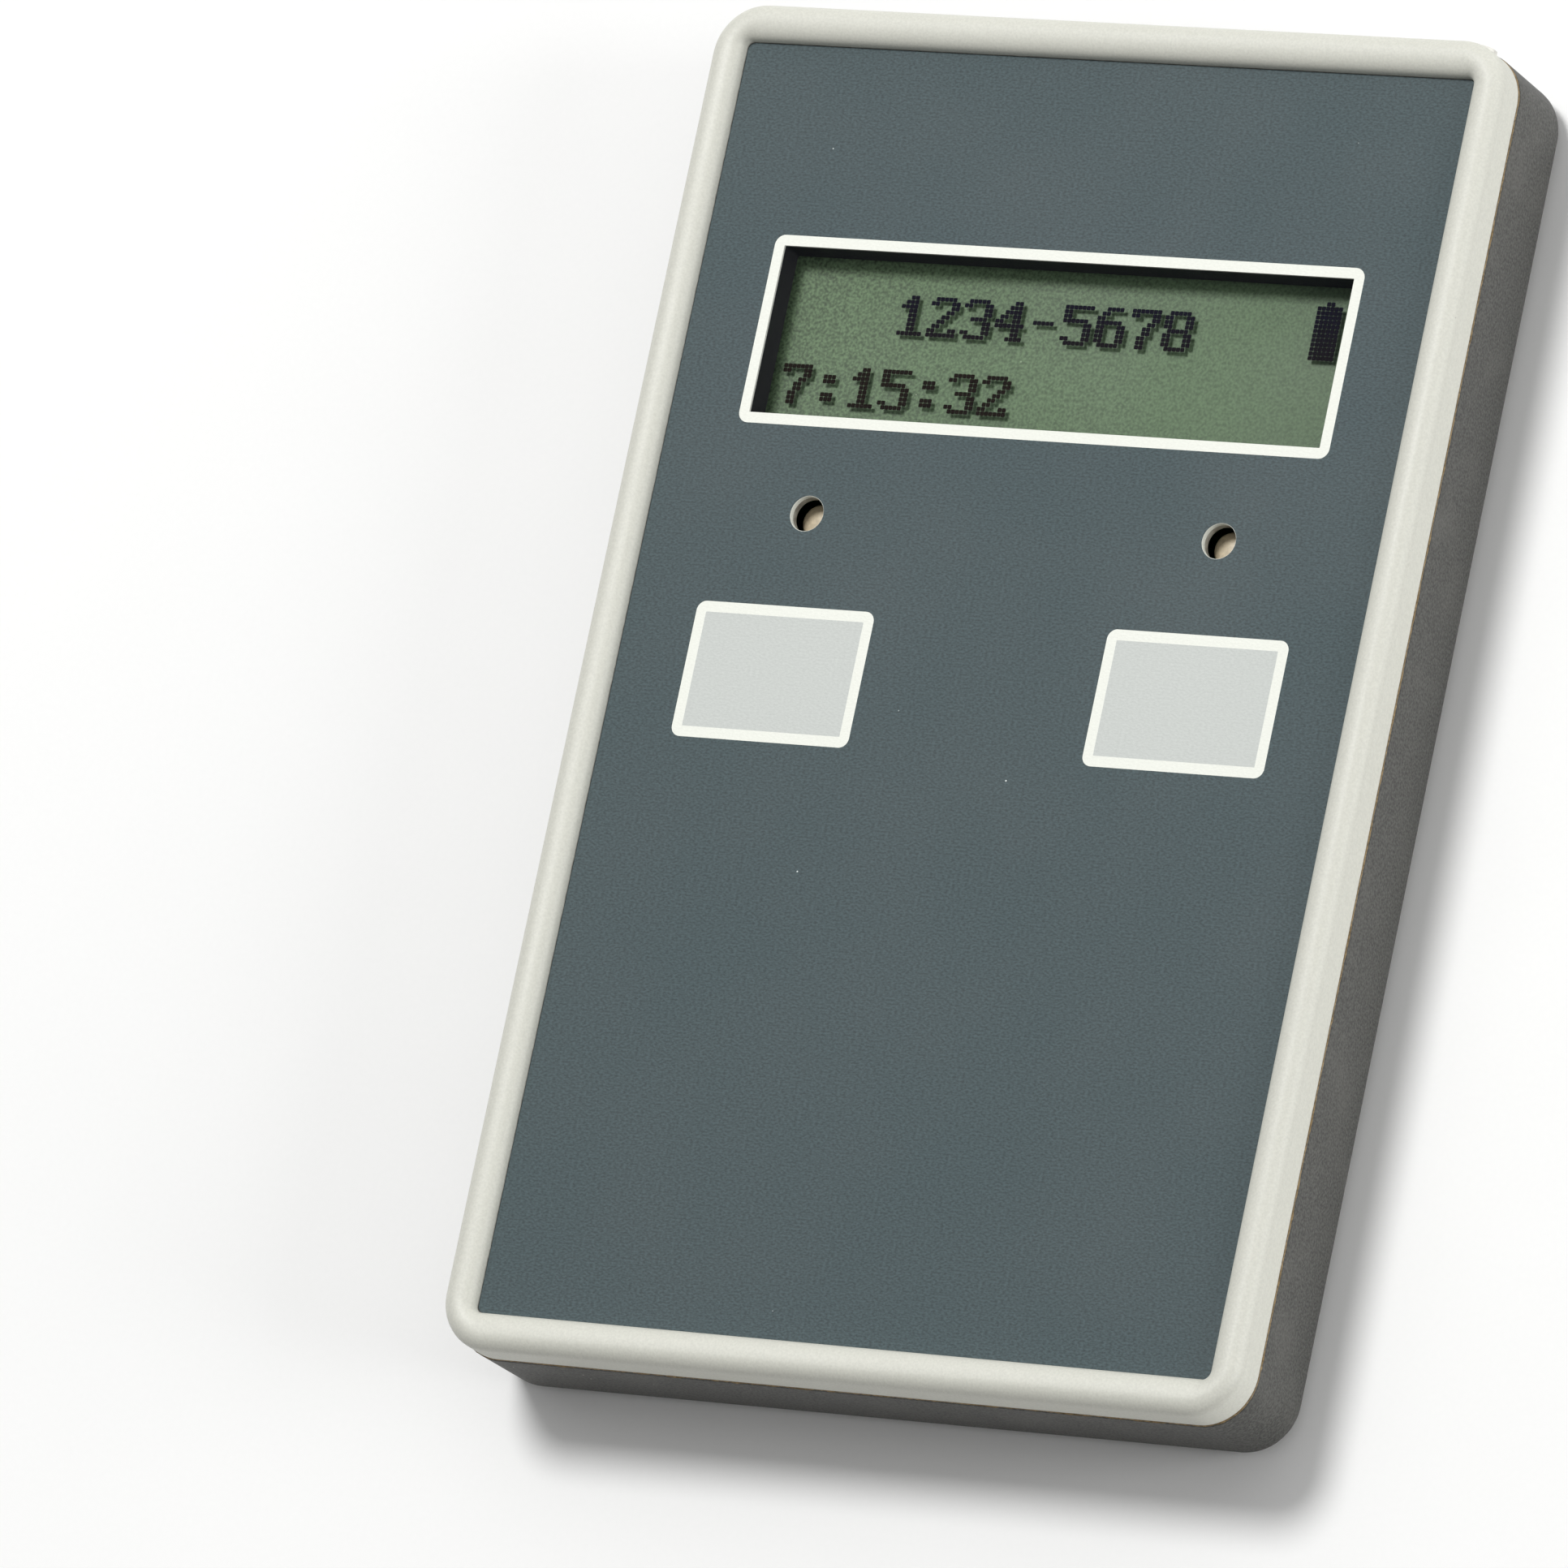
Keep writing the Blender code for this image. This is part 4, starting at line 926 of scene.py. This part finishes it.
def key_border(side, quarter, white, grey):
    """One mitred side of the film round a key, between the case and the key."""
    centre = key_centre(side)
    top = edges_of(f"{side}_key")[1].z
    half = (0.5 * KEY_FIELD[0], 0.5 * KEY_FIELD[1])
    count = BORDER_STEPS
    reaches = [(PRINT_LINE * i / count, SHARP_CORNER + (KEY_CORNER - SHARP_CORNER) * i / count)
               for i in range(count + 1)]
    reaches += [(PRINT_LINE + KEY_MARGIN * i / MARGIN_STEPS,
                 KEY_CORNER + (KEY_MARGIN_CORNER - KEY_CORNER) * i / MARGIN_STEPS)
                for i in range(1, MARGIN_STEPS + 1)]
    bm = bmesh.new()
    middle = CORNER_STEPS // 2
    loops = []
    for reach, radius in reaches:
        corners = outline((half[0] + reach, half[1] + reach), radius, top, centre)
        points = corners[quarter - 1][middle:] + corners[quarter][:middle + 1]
        loops.append([bm.verts.new(Vector(p) * MM) for p in points])
    for index, (low, high) in enumerate(zip(loops, loops[1:])):
        for i in range(len(low) - 1):
            face = bm.faces.new((low[i], high[i], high[i + 1], low[i + 1]))
            face.material_index = 0 if index < count else 1
    bmesh.ops.recalc_face_normals(bm, faces=bm.faces)
    bmesh.ops.solidify(bm, geom=bm.faces, thickness=FILM * MM)
    name = ("right", "top", "left", "bottom")[quarter]
    obj = smooth(make(f"{side}_key_border_{name}", bm, white, grey))
    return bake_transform(obj)


# ---------------------------------------------------------------- display and LEDs

def window_frame(material):
    """The black frame that holds the display against the film."""
    centre, outer = span("display_gasket")
    window = window_size()[1]
    gap_below, gap_above = FRAME_GAPS
    low = edges_of("lcd_front_glass")[1].z + gap_below
    high = edges_of("front_foil")[1].z - FILM - gap_above
    inner = (window[0] + FRAME_SET_BACK, window[1] + FRAME_SET_BACK)
    toe, rise = FRAME_FOOT
    rings = [ring(outer, FRAME_CORNER, low, centre), ring(outer, FRAME_CORNER, high, centre),
             ring(inner, FRAME_INNER_CORNER, high, centre),
             ring(inner, FRAME_INNER_CORNER, low + rise, centre),
             ring((inner[0] - toe, inner[1] - toe), FRAME_INNER_CORNER, low, centre)]
    obj = make("window_frame", loft(rings, closed=True), material)
    return settle(obj, "case", "frame_black", "display_gasket")


def cover_glass(material):
    """The thin front glass of the display cell."""
    low, high = edges_of("lcd_front_glass")
    low.z = high.z - DOT_DEPTH + GLASS_EDGE
    obj = make("cover_glass", block(low, high, GLASS_EDGE, 1), material)
    return settle(obj, "case", "window_clear", "lcd_front_glass")


def reflector(material):
    """The rear glass with the reflecting sheet that the dots throw their shadows on."""
    low, high = edges_of("lcd_rear_glass")
    high.z = edges_of("lcd_front_glass")[1].z - DOT_DEPTH
    obj = make("reflector", block(low, high, GLASS_EDGE, 1), material)
    return settle(obj, "case", "lcd_green", "lcd_rear_glass")


def dot_places(rows, left, top):
    """Centres of the dark dots of a glyph whose first dot's outer corner is at left, top."""
    places = []
    for row, line in enumerate(rows.split("|")):
        for column, mark in enumerate(line):
            if mark == "#":
                places.append((left + (column + 0.5) * DOT_PITCH, top - (row + 0.5) * DOT_PITCH))
    return places


def lcd_dots(material):
    """Two lines of dots and the battery sign, just over the glass."""
    places = dot_places(BATTERY_GLYPH, *BATTERY_SIGN)
    for text, left, top in (TOP_TEXT, LOW_TEXT):
        for index, letter in enumerate(text):
            places += dot_places(GLYPHS[letter], left + index * GLYPH_CELL * DOT_PITCH, top)
    low = edges_of("lcd_front_glass")[1].z + DOT_LIFT
    half = 0.5 * DOT_SHARE * DOT_PITCH
    bm = bmesh.new()
    for x, y in places:
        loops = [[bm.verts.new(Vector(p) * MM)
                  for p in ring((half, half), DOT_CORNER, z, (x, y), 1)]
                 for z in (low, low + DOT_THICKNESS)]
        bm.faces.new(list(reversed(loops[0])))
        bm.faces.new(loops[1])
        for i in range(len(loops[0])):
            j = (i + 1) % len(loops[0])
            bm.faces.new((loops[0][i], loops[0][j], loops[1][j], loops[1][i]))
    obj = make("lcd_dots", bm, material)
    return settle(obj, "case", "frame_black")


def led_lens(side, material):
    """A flat-topped LED with a shallow dished face, on its square-shouldered base."""
    name = f"{side}_led"
    at, half = span(name)
    low, high = edges_of(name)
    radius = half.x - LED_SHOULDER
    top = high.z
    spring = top - 0.35
    profile = [(half.x, low.z), (half.x, low.z + 0.9),
               (half.x - LED_BASE_EDGE, low.z + LED_BASE),
               (radius, low.z + 1.05), (radius, spring)]
    for step in range(1, LED_RIM_STEPS + 1):
        turn = 0.5 * math.pi * step / LED_RIM_STEPS
        profile.append((radius - LED_RIM * (1 - math.cos(turn)),
                        spring + LED_RIM * math.sin(turn)))
    profile += [(0.6 * radius, top), (0.02, top + LED_DISH)]
    obj = make(f"{side}_led_lens", turned(at, profile), material)
    return settle(obj, "case", "led_cream", name)


# ---------------------------------------------------------------- inside

def foam_pad(name, node, material):
    """A crowned pad that fills the place of its CAD solid."""
    centre, half = span(node)
    edge = min(half.z, PAD_EDGE)

    def face(share, way):
        bulge = half.z * (1.0 - PAD_CROWN * share * share)
        return ring((share * (half.x - edge), share * (half.y - edge)), PAD_CORNER * share,
                    centre.z + way * bulge, centre, 6)

    sides = []
    for step in range(PAD_STEPS + 1):
        turn = math.pi * (step / PAD_STEPS - 0.5)
        inset = edge * (1 - math.cos(turn))
        height = centre.z + (1.0 - PAD_CROWN) * half.z * math.sin(turn)
        sides.append(ring((half.x - inset, half.y - inset), PAD_CORNER, height, centre, 6))
    under = [face(share, -1) for share in reversed(PAD_CROWN_SHARES)]
    over = [face(share, 1) for share in PAD_CROWN_SHARES]
    obj = make(name, loft(under + sides + over), material)
    settle(obj, "case", "foam_black", node)
    return obj


def dress_cad_nodes(materials):
    """Give each CAD node that stays in view the procedural material of its own finish."""
    slots = {row["node"]: row["material_slot"] for row in frame["record"]["subparts"]}
    for name, obj in frame["nodes"].items():
        obj.data.materials.clear()
        obj.data.materials.append(materials[slots[name]])


# ---------------------------------------------------------------- stage

def towards(azimuth, elevation):
    """The direction of a place round the object: azimuth 0 is in front of its lower end."""
    a = math.radians(azimuth)
    e = math.radians(elevation)
    return Vector((math.sin(a) * math.cos(e), -math.cos(a) * math.cos(e), math.sin(e)))


def add_camera():
    data = bpy.data.cameras.new("camera")
    data.lens = CAMERA_LENS
    data.sensor_width = SENSOR_WIDTH
    camera = bpy.data.objects.new("camera", data)
    bpy.context.scene.collection.objects.link(camera)
    back = towards(CAMERA_AZIMUTH, CAMERA_ELEVATION)
    level = Vector((0, 0, 1)).cross(back).normalized()
    upright = back.cross(level)
    roll = math.radians(CAMERA_ROLL)
    right = level * math.cos(roll) + upright * math.sin(roll)
    turn = Matrix((right, back.cross(right), back)).transposed().to_4x4()
    place = (Vector(CAMERA_AIM) + back * CAMERA_DISTANCE) * MM
    camera.matrix_world = Matrix.Translation(place) @ turn
    bpy.context.scene.camera = camera


def add_lights():
    """A white sky that brightens towards the pager's top end, and the soft boxes."""
    world = bpy.data.worlds.new("sky")
    world.use_nodes = True
    background = world.node_tree.nodes["Background"]
    background.inputs["Color"].default_value = (1.0, 1.0, 1.0, 1.0)
    links = world.node_tree.links
    place = world.node_tree.nodes.new("ShaderNodeTexCoord")
    split = world.node_tree.nodes.new("ShaderNodeSeparateXYZ")
    fade = world.node_tree.nodes.new("ShaderNodeMapRange")
    links.new(place.outputs["Generated"], split.inputs[0])
    links.new(split.outputs["Y"], fade.inputs["Value"])
    fade.inputs["From Min"].default_value, fade.inputs["From Max"].default_value = SKY_FADE
    fade.inputs["To Min"].default_value, fade.inputs["To Max"].default_value = SKY_STRENGTH
    links.new(fade.outputs[0], background.inputs["Strength"])
    bpy.context.scene.world = world
    for name, (azimuth, elevation, distance, size, power) in SOFT_BOXES.items():
        data = bpy.data.lights.new(name, "AREA")
        data.shape = "DISK"
        data.size = size
        data.energy = power
        light = bpy.data.objects.new(name, data)
        bpy.context.scene.collection.objects.link(light)
        away = towards(azimuth, elevation)
        light.location = away * distance
        light.rotation_euler = away.to_track_quat("Z", "Y").to_euler()


def add_floor():
    side = 0.5 * FLOOR_SIDE * MM
    bm = bmesh.new()
    bmesh.ops.create_grid(bm, x_segments=8, y_segments=8, size=side)
    paper = surface("floor_paper", srgb(246, 246, 245), 0.7, 0.5, 0.002, 0.004)
    make("floor", bm, paper)


def build():
    materials = slot_materials()
    dress_cad_nodes(materials)
    front_bezel(materials["shell_light"])
    back_cover(materials["shell_dark"])
    seam_flash(surface("seam_glue", srgb(150, 128, 92), 0.5, 0.3, 0.01, 0.4))
    end_moulding(materials["strip_light"])
    for number in SCREWS:
        case_screw(number, materials["screw_steel"])
    white = film_print("film_white", srgb(235, 237, 228), 0.03)
    grey = materials["foil_grey"]
    printed_film(grey)
    window_outline(white)
    # White rings of painted light on the LED holes' walls
    for side in ("left", "right"):
        painted_hole_light(side, white)
    clear_window(materials["window_clear"])
    for side in ("left", "right"):
        key_field(side, materials["key_grey"], materials["plug_white"])
        for quarter in range(4):
            key_border(side, quarter, white, grey)
        led_lens(side, materials["led_cream"])
    window_frame(materials["frame_black"])
    reflector(materials["lcd_green"])
    cover_glass(clear_film("cover_glass_clear", srgb(24, 30, 26), 0.04, 0.06))
    lcd_dots(lcd_ink_and_reflection())
    for node in ("cell_foam_pad", "cell_top_pad"):
        foam_pad(f"{node}_crowned", node, materials["foam_black"])


add_camera()
add_lights()
add_floor()
build()
bpy.context.scene.view_settings.view_transform = "Standard"
